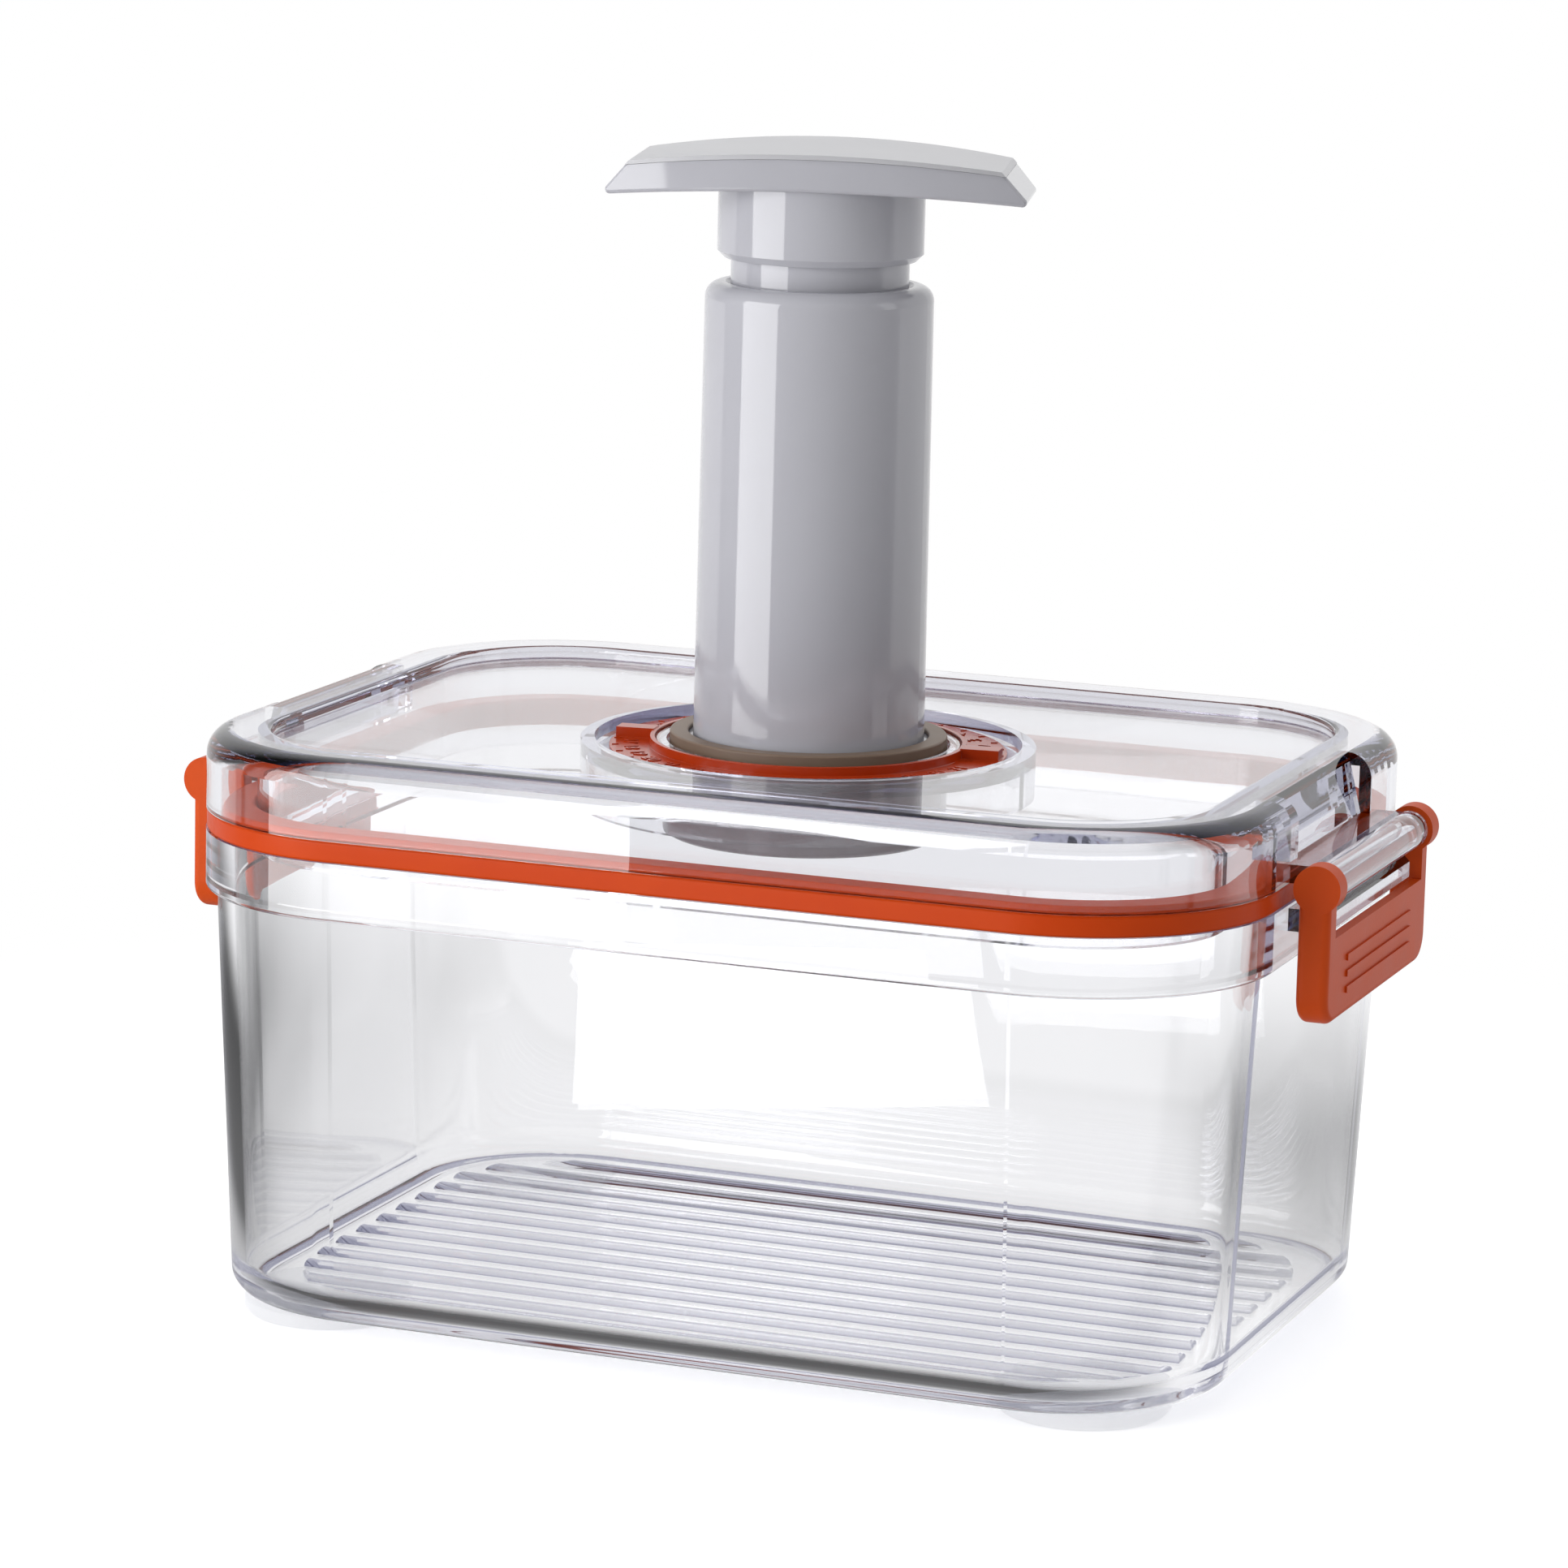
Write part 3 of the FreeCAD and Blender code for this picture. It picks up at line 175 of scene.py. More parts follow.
# Moulded silicone: even orange with a soft satin shine, dulled here and there by dust.
orange_silicone, tree, output, place = new_material("orange_silicone")
cloud = add_node(tree, "ShaderNodeTexNoise", {"Vector": place, "Scale": 1 / GASKET_CLOUD, "Detail": 4.0})
shade = add_node(tree, "ShaderNodeMix", {"Factor": cloud.outputs["Fac"], "A": linear("#C23A00"),
                                         "B": linear("#CC4500")}, data_type="RGBA")
dust = add_node(tree, "ShaderNodeTexNoise", {"Vector": place, "Scale": 1 / GASKET_DUST, "Detail": 3.0})
dull = add_node(tree, "ShaderNodeMapRange", {"Value": dust.outputs["Fac"], "To Min": 0.32, "To Max": 0.52})
skin = add_node(tree, "ShaderNodeBsdfPrincipled", {
    "Base Color": shade.outputs["Result"], "Roughness": dull.outputs["Result"], "IOR": 1.41,
    "Specular IOR Level": 0.25})
tree.links.new(skin.outputs[0], output.inputs["Surface"])
softened("lid_gasket", GASKET_ROUNDING, orange_silicone, "lid")


# Clips: two locking clips that turn on the lid's bars and catch under the tub's noses.
# Orange polypropylene with a fine satin grain from the eroded mould.
CLIP_CLOUD = 0.010
CLIP_GRAIN = 0.0006
# Satin polypropylene: orange with a broad soft shine. Its grain is drawn coarser than the real
# one, so that it shows.
orange_pp, tree, output, place = new_material("orange_polypropylene_satin")
cloud = add_node(tree, "ShaderNodeTexNoise", {"Vector": place, "Scale": 1 / CLIP_CLOUD, "Detail": 3.0})
shade = add_node(tree, "ShaderNodeMix", {"Factor": cloud.outputs["Fac"], "A": linear("#C84510"),
                                         "B": linear("#D25015")}, data_type="RGBA")
grain = add_node(tree, "ShaderNodeTexNoise", {"Vector": place, "Scale": 1 / CLIP_GRAIN, "Detail": 2.0})
grainy = add_node(tree, "ShaderNodeBump", {
    "Height": grain.outputs["Fac"], "Strength": 0.25, "Distance": 0.00006})
dull = add_node(tree, "ShaderNodeMapRange", {"Value": cloud.outputs["Fac"], "To Min": 0.36, "To Max": 0.48})
skin = add_node(tree, "ShaderNodeBsdfPrincipled", {
    "Base Color": shade.outputs["Result"], "Roughness": dull.outputs["Result"], "IOR": 1.49,
    "Specular IOR Level": 0.15, "Normal": grainy.outputs["Normal"]})
tree.links.new(skin.outputs[0], output.inputs["Surface"])
dress(orange_pp, "clip_left", "clip_right")


# Date dial: a ring that turns in the lid's well to note the day of filling.
# Polypropylene from a polished mould, with raised numbers and marks, deep orange partly as painted shade.
DIAL_ROUNDING = 0.0002
DIAL_CLOUD = 0.008
# Polypropylene from a polished mould: deep orange with a clear shine. The orange is partly its own and
# partly painted shade of the well it turns in.
dial_pp_painted_shade, tree, output, place = new_material("deep_orange_polypropylene_gloss")
cloud = add_node(tree, "ShaderNodeTexNoise", {"Vector": place, "Scale": 1 / DIAL_CLOUD, "Detail": 3.0})
shade = add_node(tree, "ShaderNodeMix", {"Factor": cloud.outputs["Fac"], "A": linear("#B03409"),
                                         "B": linear("#BC3E10")}, data_type="RGBA")
dull = add_node(tree, "ShaderNodeMapRange", {"Value": cloud.outputs["Fac"], "To Min": 0.16, "To Max": 0.26})
skin = add_node(tree, "ShaderNodeBsdfPrincipled", {
    "Base Color": shade.outputs["Result"], "Roughness": dull.outputs["Result"], "IOR": 1.49})
tree.links.new(skin.outputs[0], output.inputs["Surface"])
softened("date_dial", DIAL_ROUNDING, dial_pp_painted_shade, "date_dial")

DIAL_TURN = math.radians(8)
DIAL_SLOTS = 34
DIAL_RING_HEIGHT = 0.0014
DIAL_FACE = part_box("date_dial")[0].z + DIAL_RING_HEIGHT
LAST_DAY = 31
NUMBER_RADIUS = 0.0315
NUMBER_HEIGHT = 0.0026
NUMBER_RISE = 0.00018
FIGURE_SHARE = 0.7
numbers_shape = bmesh.new()
for number in range(1, LAST_DAY + 1):
    place_on_dial = number + (number > DIAL_SLOTS // 2 - 1)
    angle = DIAL_TURN + math.tau * place_on_dial / DIAL_SLOTS
    words = bpy.data.curves.new("number", "FONT")
    words.body = str(number)
    words.align_x = "CENTER"
    words.align_y = "CENTER"
    words.size = NUMBER_HEIGHT / FIGURE_SHARE
    words.extrude = NUMBER_RISE / 2
    words.resolution_u = 3
    sign = bpy.data.objects.new("number", words)
    bpy.context.scene.collection.objects.link(sign)
    flat = bpy.data.meshes.new_from_object(sign.evaluated_get(bpy.context.evaluated_depsgraph_get()))
    spot = Matrix.Translation((NUMBER_RADIUS, 0, DIAL_FACE + NUMBER_RISE / 2))
    flat.transform(Matrix.Rotation(angle, 4, "Z") @ spot @ Matrix.Rotation(math.pi / 2, 4, "Z"))
    numbers_shape.from_mesh(flat)
    bpy.data.objects.remove(sign)
    bpy.data.meshes.remove(flat)
bmesh.ops.remove_doubles(numbers_shape, verts=numbers_shape.verts, dist=1e-7)
numbers_mesh = bpy.data.meshes.new("dial_numbers")
numbers_shape.to_mesh(numbers_mesh)
numbers_shape.free()
numbers_mesh.materials.append(dial_pp_painted_shade)
numbers = bpy.data.objects.new("dial_numbers", numbers_mesh)
bpy.context.scene.collection.objects.link(numbers)
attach(numbers, "date_dial")

scale_tree = bpy.data.node_groups.new("dial_marks", "GeometryNodeTree")
scale_tree.is_modifier = True
MARK_SIZES = {"Count": DIAL_SLOTS, "Radius": 0.0341, "Length": 0.0012, "Width": 0.0003, "Height": 0.0003,
              "Level": DIAL_FACE, "Turn": DIAL_TURN + math.pi / DIAL_SLOTS}
for name, number in MARK_SIZES.items():
    kind = "NodeSocketInt" if isinstance(number, int) else "NodeSocketFloat"
    scale_tree.interface.new_socket(name, in_out="INPUT", socket_type=kind)
scale_tree.interface.new_socket("Geometry", in_out="OUTPUT", socket_type="NodeSocketGeometry")
size_in = add_node(scale_tree, "NodeGroupInput")
ring = add_node(scale_tree, "GeometryNodeMeshCircle", {"Vertices": size_in.outputs["Count"],
                                                       "Radius": size_in.outputs["Radius"]})
block = add_node(scale_tree, "ShaderNodeCombineXYZ", {
    "X": size_in.outputs["Length"], "Y": size_in.outputs["Width"], "Z": size_in.outputs["Height"]})
mark = add_node(scale_tree, "GeometryNodeMeshCube", {"Size": block.outputs[0]})
outward = add_node(scale_tree, "FunctionNodeAlignRotationToVector", {
    "Vector": add_node(scale_tree, "GeometryNodeInputPosition").outputs[0]}, axis="X")
marks = add_node(scale_tree, "GeometryNodeInstanceOnPoints", {
    "Points": ring.outputs["Mesh"], "Instance": mark.outputs["Mesh"], "Rotation": outward.outputs[0]})
lift = add_node(scale_tree, "ShaderNodeCombineXYZ", {"Z": size_in.outputs["Level"]})
spin = add_node(scale_tree, "ShaderNodeCombineXYZ", {"Z": size_in.outputs["Turn"]})
moved = add_node(scale_tree, "GeometryNodeTransform", {
    "Geometry": marks.outputs[0], "Translation": lift.outputs[0], "Rotation": spin.outputs[0]})
real = add_node(scale_tree, "GeometryNodeRealizeInstances", {0: moved.outputs[0]})
coloured = add_node(scale_tree, "GeometryNodeSetMaterial", {"Geometry": real.outputs[0], "Material": dial_pp_painted_shade})
add_node(scale_tree, "NodeGroupOutput", {0: coloured.outputs[0]})
dial_marks = bpy.data.objects.new("dial_marks", bpy.data.meshes.new("dial_marks"))
bpy.context.scene.collection.objects.link(dial_marks)
grow = dial_marks.modifiers.new("marks", "NODES")
grow.node_group = scale_tree
for item in scale_tree.interface.items_tree:
    if item.in_out == "INPUT":
        grow[item.identifier] = MARK_SIZES[item.name]
ready = dial_marks.evaluated_get(bpy.context.evaluated_depsgraph_get())
marks_mesh = bpy.data.meshes.new_from_object(ready)
dial_marks.modifiers.clear()
dial_marks.data = marks_mesh
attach(dial_marks, "date_dial")


# Valves: the vent valve under the pump holds the vacuum, and the inlet valve works in the pump's base.
# White silicone, pulled through the floors that they close.
VALVE_CLOUD = 0.006
# Moulded silicone: off-white with a soft shine.
white_silicone, tree, output, place = new_material("white_silicone")
cloud = add_node(tree, "ShaderNodeTexNoise", {"Vector": place, "Scale": 1 / VALVE_CLOUD, "Detail": 3.0})
shade = add_node(tree, "ShaderNodeMix", {"Factor": cloud.outputs["Fac"], "A": linear("#DADAD8"),
                                         "B": linear("#E6E6E4")}, data_type="RGBA")
dull = add_node(tree, "ShaderNodeMapRange", {"Value": cloud.outputs["Fac"], "To Min": 0.40, "To Max": 0.55})
skin = add_node(tree, "ShaderNodeBsdfPrincipled", {
    "Base Color": shade.outputs["Result"], "Roughness": dull.outputs["Result"], "IOR": 1.41})
tree.links.new(skin.outputs[0], output.inputs["Surface"])
dress(white_silicone, "vent_valve", "inlet_valve")


# Valve cage: a cup with air holes on the boss under the well, which keeps food off the valve.
# Smoke brown ABS from a polished mould, pressed on. Its dark brown is a painted reflection of the pump
# and the dial seen through the clear boss.
CAGE_CLOUD = 0.009
# Polished ABS: dark smoke brown with a clear shine; the dark brown is a painted reflection.
smoke_abs_painted_reflection, tree, output, place = new_material("smoke_ABS_gloss")
cloud = add_node(tree, "ShaderNodeTexNoise", {"Vector": place, "Scale": 1 / CAGE_CLOUD, "Detail": 3.0})
shade = add_node(tree, "ShaderNodeMix", {"Factor": cloud.outputs["Fac"], "A": linear("#5E4B50"),
                                         "B": linear("#6B595E")}, data_type="RGBA")
dull = add_node(tree, "ShaderNodeMapRange", {"Value": cloud.outputs["Fac"], "To Min": 0.14, "To Max": 0.24})
skin = add_node(tree, "ShaderNodeBsdfPrincipled", {
    "Base Color": shade.outputs["Result"], "Roughness": dull.outputs["Result"], "IOR": 1.54})
tree.links.new(skin.outputs[0], output.inputs["Surface"])
dress(smoke_abs_painted_reflection, "valve_cage")


# Pump: the tube with its base and a soft foot ring, standing in the lid's well.
# Light grey ABS, moulded in a polished tool, with seals of taupe silicone.
PUMP_CLOUD = 0.020
PUMP_PEEL = 0.0025
# Polished ABS: light grey with sharp highlights and the faint orange peel of the mould.
grey_abs, tree, output, place = new_material("grey_ABS_gloss")
cloud = add_node(tree, "ShaderNodeTexNoise", {"Vector": place, "Scale": 1 / PUMP_CLOUD, "Detail": 3.0})
shade = add_node(tree, "ShaderNodeMix", {"Factor": cloud.outputs["Fac"], "A": linear("#B6B6BD"),
                                         "B": linear("#BCBCC3")}, data_type="RGBA")
peel = add_node(tree, "ShaderNodeTexNoise", {"Vector": place, "Scale": 1 / PUMP_PEEL, "Detail": 1.0})
peeled = add_node(tree, "ShaderNodeBump", {
    "Height": peel.outputs["Fac"], "Strength": 0.06, "Distance": 0.00004})
dull = add_node(tree, "ShaderNodeMapRange", {"Value": cloud.outputs["Fac"], "To Min": 0.05, "To Max": 0.10})
skin = add_node(tree, "ShaderNodeBsdfPrincipled", {
    "Base Color": shade.outputs["Result"], "Roughness": dull.outputs["Result"], "IOR": 1.54,
    "Normal": peeled.outputs["Normal"]})
tree.links.new(skin.outputs[0], output.inputs["Surface"])
dress(grey_abs, "pump_barrel", "pump_base")

SEAL_ROUNDING = 0.0004
SEAL_CLOUD = 0.006
# Taupe silicone of the seals: soft and nearly dull.
taupe_silicone, tree, output, place = new_material("taupe_silicone")
cloud = add_node(tree, "ShaderNodeTexNoise", {"Vector": place, "Scale": 1 / SEAL_CLOUD, "Detail": 3.0})
shade = add_node(tree, "ShaderNodeMix", {"Factor": cloud.outputs["Fac"], "A": linear("#7C6858"),
                                         "B": linear("#877363")}, data_type="RGBA")
dull = add_node(tree, "ShaderNodeMapRange", {"Value": cloud.outputs["Fac"], "To Min": 0.38, "To Max": 0.50})
skin = add_node(tree, "ShaderNodeBsdfPrincipled", {
    "Base Color": shade.outputs["Result"], "Roughness": dull.outputs["Result"], "IOR": 1.41})
tree.links.new(skin.outputs[0], output.inputs["Surface"])
dress(taupe_silicone, "piston_seal")
softened("pump_foot_seal", SEAL_ROUNDING, taupe_silicone, "pump")


# Plunger: the rod with the piston inside the barrel and the cross handle on top.
# The same grey ABS as the barrel.
HANDLE_ROUNDING = 0.0004
dress(grey_abs, "plunger_rod", "piston")
softened("handle", HANDLE_ROUNDING, grey_abs, "plunger")


# Handle cover: the cap that closes the handle's top over its screws.
# Pale grey ABS with a satin grain, snapped on.
COVER_ROUNDING = 0.0004
COVER_CLOUD = 0.015
COVER_GRAIN = 0.0007
# Satin ABS: pale grey with a blurred shine. Its grain is drawn coarser than the real one, so
# that it shows.
pale_abs, tree, output, place = new_material("pale_ABS_satin")
cloud = add_node(tree, "ShaderNodeTexNoise", {"Vector": place, "Scale": 1 / COVER_CLOUD, "Detail": 3.0})
shade = add_node(tree, "ShaderNodeMix", {"Factor": cloud.outputs["Fac"], "A": linear("#BEBEC2"),
                                         "B": linear("#C4C4C8")}, data_type="RGBA")
grain = add_node(tree, "ShaderNodeTexNoise", {"Vector": place, "Scale": 1 / COVER_GRAIN, "Detail": 2.0})
grainy = add_node(tree, "ShaderNodeBump", {
    "Height": grain.outputs["Fac"], "Strength": 0.3, "Distance": 0.00006})
dull = add_node(tree, "ShaderNodeMapRange", {"Value": cloud.outputs["Fac"], "To Min": 0.28, "To Max": 0.38})
skin = add_node(tree, "ShaderNodeBsdfPrincipled", {
    "Base Color": shade.outputs["Result"], "Roughness": dull.outputs["Result"], "IOR": 1.54,
    "Normal": grainy.outputs["Normal"]})
tree.links.new(skin.outputs[0], output.inputs["Surface"])
softened("handle_cover", COVER_ROUNDING, pale_abs, "plunger")


# Handle screws: two screws that hold the handle on the rod, under the cover.
# Zinc plated steel, cold headed.
ZINC_SPANGLE = 0.001
# Zinc plating: bright metal with a fine uneven shine.
zinc_steel, tree, output, place = new_material("zinc_plated_steel")
spangle = add_node(tree, "ShaderNodeTexNoise", {"Vector": place, "Scale": 1 / ZINC_SPANGLE, "Detail": 2.0})
shade = add_node(tree, "ShaderNodeMix", {"Factor": spangle.outputs["Fac"], "A": linear("#B4B7BA"),
                                         "B": linear("#C9CBCE")}, data_type="RGBA")
dull = add_node(tree, "ShaderNodeMapRange", {"Value": spangle.outputs["Fac"], "To Min": 0.25, "To Max": 0.40})
skin = add_node(tree, "ShaderNodeBsdfPrincipled", {
    "Base Color": shade.outputs["Result"], "Roughness": dull.outputs["Result"], "Metallic": 1.0})
tree.links.new(skin.outputs[0], output.inputs["Surface"])
dress(zinc_steel, "handle_screws")


# Floor: a plain white table top, which keeps the object's shadow and turns to plain white further
# off, so that no horizon shows. Gloss and glass see painted light on it: a glowing white band along
# the camera's line, painted shade in front of the object and beside it, a painted shadow under the
# tub's front edge, and for gloss the table ends a short way in front.
FLOOR_HALF = 6.0
FLOOR_Z = -0.00005
SHEET_TURN = math.radians(20.69)
SHEET_HALF = 0.34
# Painted light and shade across the camera's line: a bright band in the middle, painted shade beside it.
PAINTED_SHEET_STOPS = ((-0.32, 1.0), (-0.23, 0.10), (-0.145, 0.14), (-0.115, 0.55), (-0.095, 0.80), (-0.060, 1.0),
               (0.075, 1.0), (0.105, 0.72), (0.135, 0.42), (0.175, 0.12), (0.23, 0.10), (0.32, 1.0))
SHEET_SLANT = 0.5
WHITE_FROM, WHITE_PAST = 0.15, 0.32
DISTANT_FROM, DISTANT_PAST = 0.12, 0.36
EDGE_FROM, EDGE_PAST = 0.40, 0.44
SHADOW_LIFT = 0.45
floor_mesh = bpy.data.meshes.new("floor")
corners = [(-FLOOR_HALF, -FLOOR_HALF, FLOOR_Z), (FLOOR_HALF, -FLOOR_HALF, FLOOR_Z),
           (FLOOR_HALF, FLOOR_HALF, FLOOR_Z), (-FLOOR_HALF, FLOOR_HALF, FLOOR_Z)]
floor_mesh.from_pydata(corners, [], [(0, 1, 2, 3)])
floor = bpy.data.objects.new("floor", floor_mesh)
bpy.context.scene.collection.objects.link(floor)
# Matt white paint: no shine, so the object's shadow lies soft on it.
white_table, tree, output, place = new_material("white_table")
far = add_node(tree, "ShaderNodeVectorMath", {0: place}, operation="LENGTH")
fade = add_node(tree, "ShaderNodeMapRange", {
    "Value": far.outputs["Value"], "From Min": WHITE_FROM, "From Max": WHITE_PAST},
    interpolation_type="SMOOTHSTEP")
across = add_node(tree, "ShaderNodeVectorMath", {
    0: place, 1: (math.cos(SHEET_TURN), math.sin(SHEET_TURN), 0)}, operation="DOT_PRODUCT")
along = add_node(tree, "ShaderNodeMapRange", {
    "Value": across.outputs["Value"], "From Min": -SHEET_HALF, "From Max": SHEET_HALF})
painted_sheet = add_node(tree, "ShaderNodeValToRGB", {"Fac": along.outputs["Result"]})
painted_sheet.color_ramp.interpolation = "EASE"
for stop in PAINTED_SHEET_STOPS[2:]:
    painted_sheet.color_ramp.elements.new(0.5)
for element, (where, level) in zip(painted_sheet.color_ramp.elements, PAINTED_SHEET_STOPS):
    element.position = (where + SHEET_HALF) / (2 * SHEET_HALF)
    element.color = (level, level, level, 1)
away = add_node(tree, "ShaderNodeVectorMath", {
    0: place, 1: (-math.sin(SHEET_TURN), math.cos(SHEET_TURN), 0)}, operation="DOT_PRODUCT")
slant = add_node(tree, "ShaderNodeMath", {
    0: across.outputs["Value"], 1: SHEET_SLANT, 2: away.outputs["Value"]}, operation="MULTIPLY_ADD")
distant = add_node(tree, "ShaderNodeMapRange", {
    "Value": slant.outputs[0], "From Min": DISTANT_FROM, "From Max": DISTANT_PAST},
    interpolation_type="SMOOTHSTEP")
ahead = add_node(tree, "ShaderNodeSeparateXYZ", {0: place})
# Painted shadow from under the tub's front edge forward, which gloss sees all the way in front.
front = add_node(tree, "ShaderNodeMapRange", {
    "Value": ahead.outputs["Y"], "From Min": -0.062, "From Max": -0.042, "To Min": 0.12, "To Max": 1.0},
    interpolation_type="SMOOTHSTEP")
wide = add_node(tree, "ShaderNodeMix", {
    "Factor": distant.outputs["Result"], "A": painted_sheet.outputs["Color"], "B": 1.0})
mirror = add_node(tree, "ShaderNodeMath", {
    0: wide.outputs["Result"], 1: front.outputs["Result"]}, operation="MULTIPLY")
this_way = add_node(tree, "ShaderNodeMapRange", {
    "Value": ahead.outputs["Y"], "From Min": -0.066, "From Max": -0.100}, interpolation_type="SMOOTHSTEP")
seen = add_node(tree, "ShaderNodeMath", {
    0: mirror.outputs[0], 1: this_way.outputs["Result"]}, operation="MAXIMUM")
ray = add_node(tree, "ShaderNodeLightPath")
share = add_node(tree, "ShaderNodeMath", {
    0: ray.outputs["Is Camera Ray"], 1: fade.outputs["Result"]}, operation="MULTIPLY")
lift = add_node(tree, "ShaderNodeMath", {
    0: ray.outputs["Is Camera Ray"], 1: SHADOW_LIFT}, operation="MULTIPLY")
matt = add_node(tree, "ShaderNodeBsdfDiffuse", {"Color": linear("#F6F6F6")})
glow = add_node(tree, "ShaderNodeEmission", {"Color": (1, 1, 1, 1), "Strength": lift.outputs[0]})
near = add_node(tree, "ShaderNodeAddShader", {0: matt.outputs[0], 1: glow.outputs[0]})
white = add_node(tree, "ShaderNodeEmission", {"Color": (1, 1, 1, 1), "Strength": 1.0})
direct = add_node(tree, "ShaderNodeMixShader", {0: share.outputs[0], 1: near.outputs[0], 2: white.outputs[0]})
# Gloss sees the painted band, shade and shadow as a glow, not as the lit floor.
painted_reflection = add_node(tree, "ShaderNodeEmission", {"Color": (1, 1, 1, 1), "Strength": mirror.outputs[0]})
edge = add_node(tree, "ShaderNodeMapRange", {
    "Value": far.outputs["Value"], "From Min": EDGE_FROM, "From Max": EDGE_PAST},
    interpolation_type="SMOOTHSTEP")
this_side = add_node(tree, "ShaderNodeMapRange", {
    "Value": away.outputs["Value"], "From Min": 0.0, "From Max": -0.1}, interpolation_type="SMOOTHSTEP")
past = add_node(tree, "ShaderNodeMath", {
    0: edge.outputs["Result"], 1: this_side.outputs["Result"]}, operation="MULTIPLY")
gap = add_node(tree, "ShaderNodeBsdfTransparent")
mirrored = add_node(tree, "ShaderNodeMixShader", {0: past.outputs[0], 1: painted_reflection.outputs[0], 2: gap.outputs[0]})
# Glass sees the painted band, shade and shadow as a glow; the painted shadow ends a short way in front.
painted_see_through = add_node(tree, "ShaderNodeEmission", {"Color": (1, 1, 1, 1), "Strength": seen.outputs[0]})
reflected = add_node(tree, "ShaderNodeMixShader", {
    0: ray.outputs["Is Glossy Ray"], 1: direct.outputs[0], 2: mirrored.outputs[0]})
both = add_node(tree, "ShaderNodeMixShader", {
    0: ray.outputs["Is Transmission Ray"], 1: reflected.outputs[0], 2: painted_see_through.outputs[0]})
tree.links.new(both.outputs[0], output.inputs["Surface"])
floor_mesh.materials.append(white_table)


# Light: a large soft box at the front left, a weaker one at the right, one overhead and one
# behind, and a small strip at the front left that the tub's front mirrors. The room is pale
# behind the object, and dark in front of it for what gloss mirrors.
def soft_box(name, place, turn, width, height, power):
    """An area lamp with its place and its turn in degrees about X and then Z."""
    lamp = bpy.data.lights.new(name, "AREA")
    lamp.shape = "RECTANGLE"
    lamp.size = width
    lamp.size_y = height
    lamp.energy = power
    box = bpy.data.objects.new(name, lamp)
    box.matrix_world = Euler((math.radians(turn[0]), 0, math.radians(turn[1]))).to_matrix().to_4x4()
    box.location = place
    box.visible_camera = False
    bpy.context.scene.collection.objects.link(box)
    return box


OBJECT_MIDDLE = Vector((0, 0, 0.11))


def round_about(azimuth, elevation, distance):
    """Place and turn of a lamp that faces the object's middle."""
    turn = (90 - elevation, azimuth)
    way = Euler((math.radians(turn[0]), 0, math.radians(turn[1]))).to_matrix() @ Vector((0, 0, distance))
    return way + OBJECT_MIDDLE, turn


soft_box("front_left_soft_box", *round_about(azimuth=-41, elevation=4, distance=1.3),
         width=0.95, height=1.15, power=17)
soft_box("right_soft_box", *round_about(azimuth=95, elevation=20, distance=1.6),
         width=0.5, height=1.0, power=2)
fills = (soft_box("overhead_soft_box", *round_about(azimuth=0, elevation=82, distance=1.3),
                  width=0.9, height=0.9, power=5),
         soft_box("back_soft_box", *round_about(azimuth=190, elevation=30, distance=1.6),
                  width=1.0, height=0.8, power=7))
for fill in fills:
    fill.visible_glossy = False
    fill.visible_transmission = False
soft_box("front_strip", place=(-0.072, -0.305, 0.001), turn=(180, -22),
         width=0.080, height=0.205, power=0.17)

ROOM_LIGHT = 0.30
world = bpy.data.worlds.new("studio")
bpy.context.scene.world = world
world.use_nodes = True
tree = world.node_tree
tree.nodes.clear()
output = add_node(tree, "ShaderNodeOutputWorld")
ray = add_node(tree, "ShaderNodeLightPath")
direction = add_node(tree, "ShaderNodeTexCoord").outputs["Generated"]
toward = add_node(tree, "ShaderNodeSeparateXYZ", {0: direction})
behind = add_node(tree, "ShaderNodeMapRange", {
    "Value": toward.outputs["Y"], "From Min": 0.1, "From Max": 0.6, "To Min": 0.08, "To Max": 1.0},
    interpolation_type="SMOOTHSTEP")
low = add_node(tree, "ShaderNodeMapRange", {
    "Value": toward.outputs["Z"], "From Min": 0.75, "From Max": 0.98, "To Min": 1.0, "To Max": 0.50},
    interpolation_type="SMOOTHSTEP")
facing = add_node(tree, "ShaderNodeMapRange", {
    "Value": toward.outputs["Y"], "From Min": -0.3, "From Max": -0.8}, interpolation_type="SMOOTHSTEP")
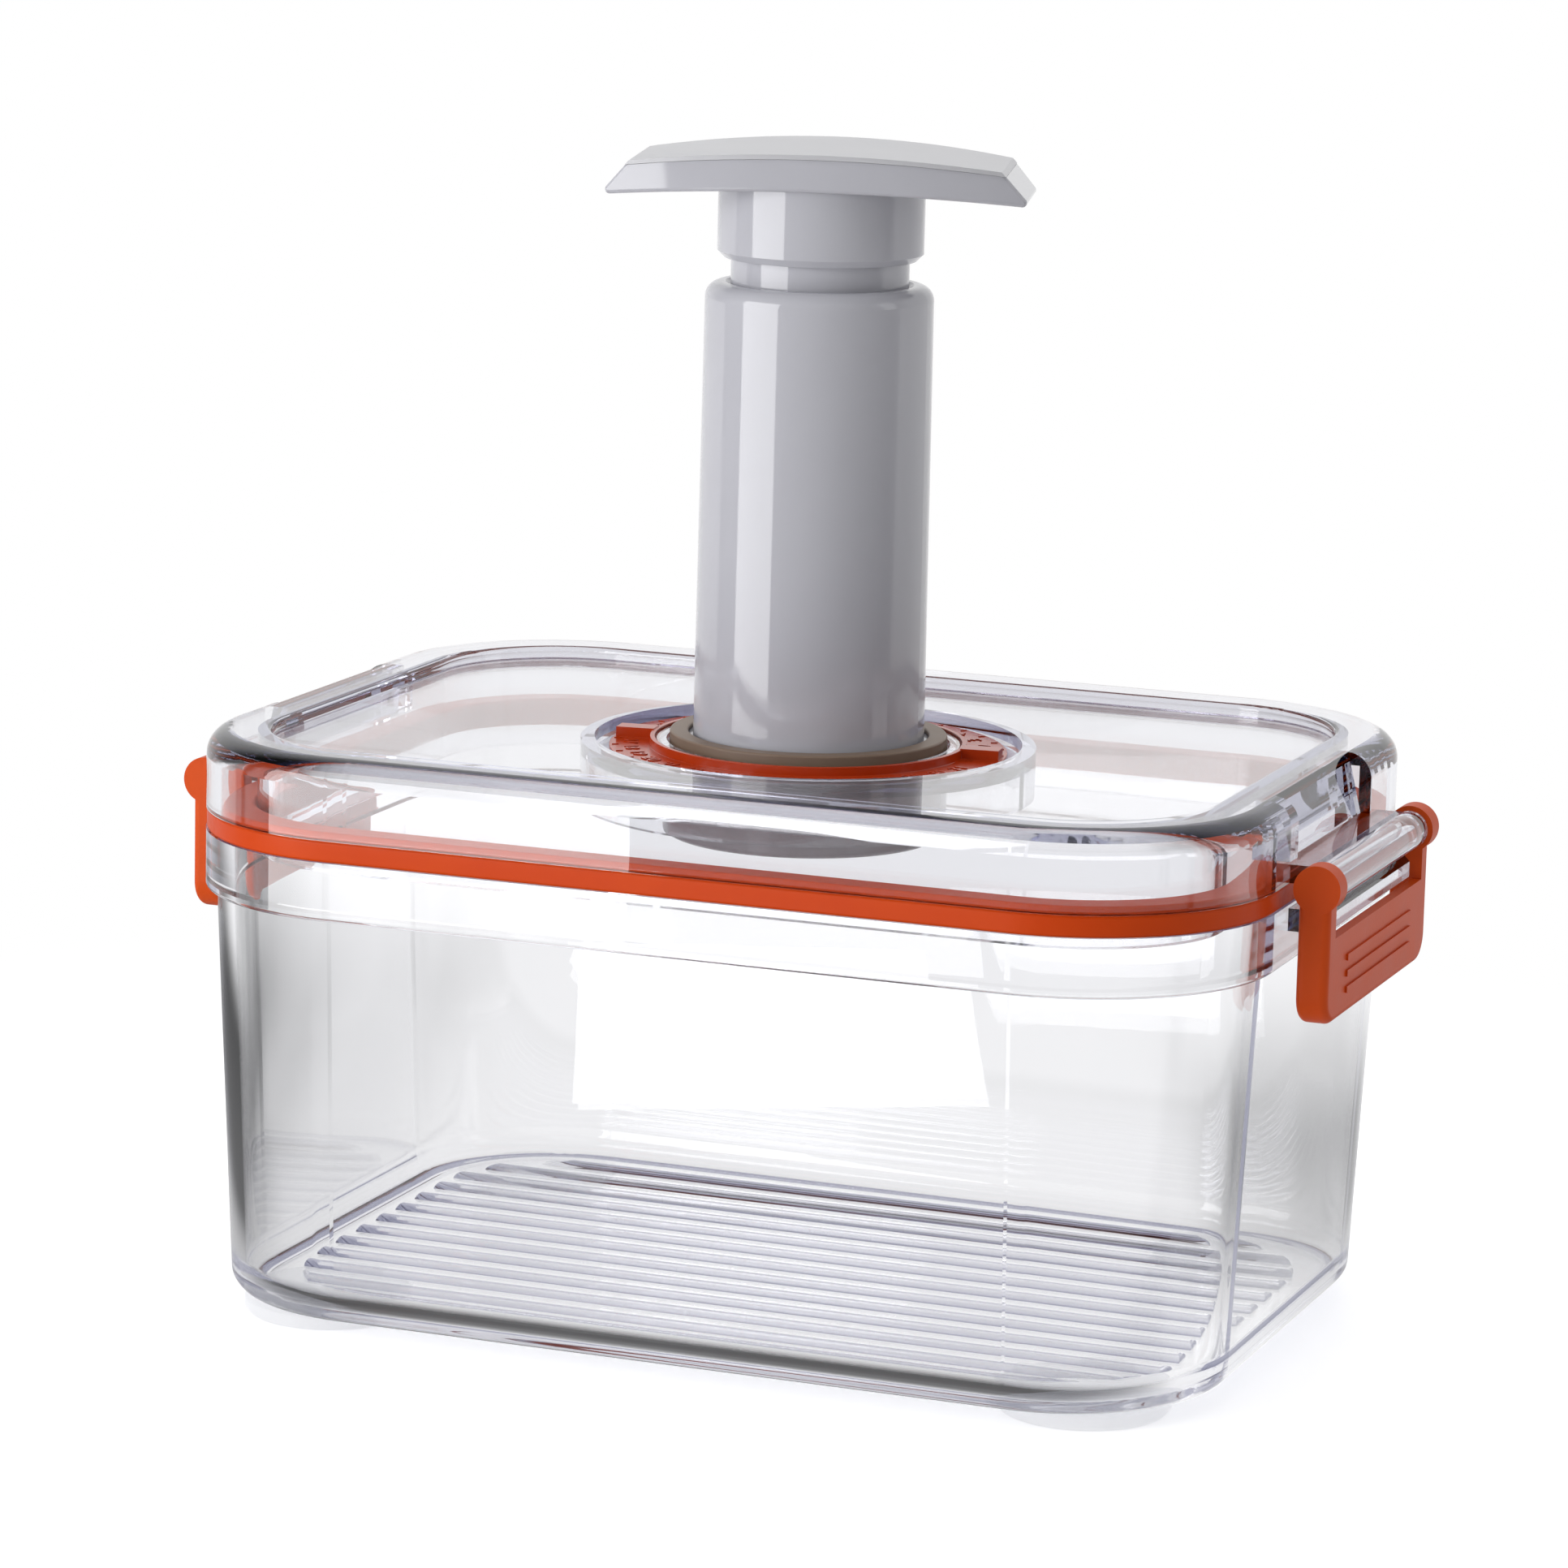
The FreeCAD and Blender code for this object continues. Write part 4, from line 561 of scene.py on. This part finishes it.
through = add_node(tree, "ShaderNodeMath", {
    0: facing.outputs["Result"], 1: ray.outputs["Is Transmission Ray"]}, operation="MULTIPLY")
level = add_node(tree, "ShaderNodeMath", {
    0: behind.outputs["Result"], 1: through.outputs[0]}, operation="MAXIMUM")
surround = add_node(tree, "ShaderNodeMath", {
    0: level.outputs[0], 1: low.outputs["Result"]}, operation="MULTIPLY")
bounced = add_node(tree, "ShaderNodeMath", {
    0: ray.outputs["Is Glossy Ray"], 1: ray.outputs["Is Transmission Ray"]}, operation="MAXIMUM")
strength = add_node(tree, "ShaderNodeMix", {
    "Factor": bounced.outputs[0], "A": ROOM_LIGHT, "B": surround.outputs[0]})
room = add_node(tree, "ShaderNodeBackground", {"Color": (1, 1, 1, 1), "Strength": strength.outputs["Result"]})
backdrop = add_node(tree, "ShaderNodeBackground", {"Color": (1, 1, 1, 1), "Strength": 1.0})
both = add_node(tree, "ShaderNodeMixShader", {
    0: ray.outputs["Is Camera Ray"], 1: room.outputs[0], 2: backdrop.outputs[0]})
tree.links.new(both.outputs[0], output.inputs["Surface"])


# Camera: at the photograph's height and side, with a long lens, a little tilted.
# Light may turn often inside the clear walls before it is given up.
CAMERA_PLACE = (0.3741, -1.0022, 0.2986)
CAMERA_SIDE = math.radians(20.69)
CAMERA_DOWN = math.radians(10.90)
CAMERA_TILT = math.radians(1.40)
lens = bpy.data.cameras.new("camera")
lens.sensor_width = 36.0
lens.lens = 141.35
camera = bpy.data.objects.new("camera", lens)
aim = Euler((math.pi / 2 - CAMERA_DOWN, 0, CAMERA_SIDE)).to_matrix()
camera.matrix_world = (aim @ Matrix.Rotation(CAMERA_TILT, 3, "Z")).to_4x4()
camera.location = CAMERA_PLACE
bpy.context.scene.collection.objects.link(camera)

WALL_TURNS = 64
CLEAR_LAYERS = 32
scene = bpy.context.scene
scene.camera = camera
scene.view_settings.view_transform = "Standard"
scene.cycles.max_bounces = WALL_TURNS
scene.cycles.transmission_bounces = WALL_TURNS
scene.cycles.glossy_bounces = WALL_TURNS
scene.cycles.transparent_max_bounces = CLEAR_LAYERS
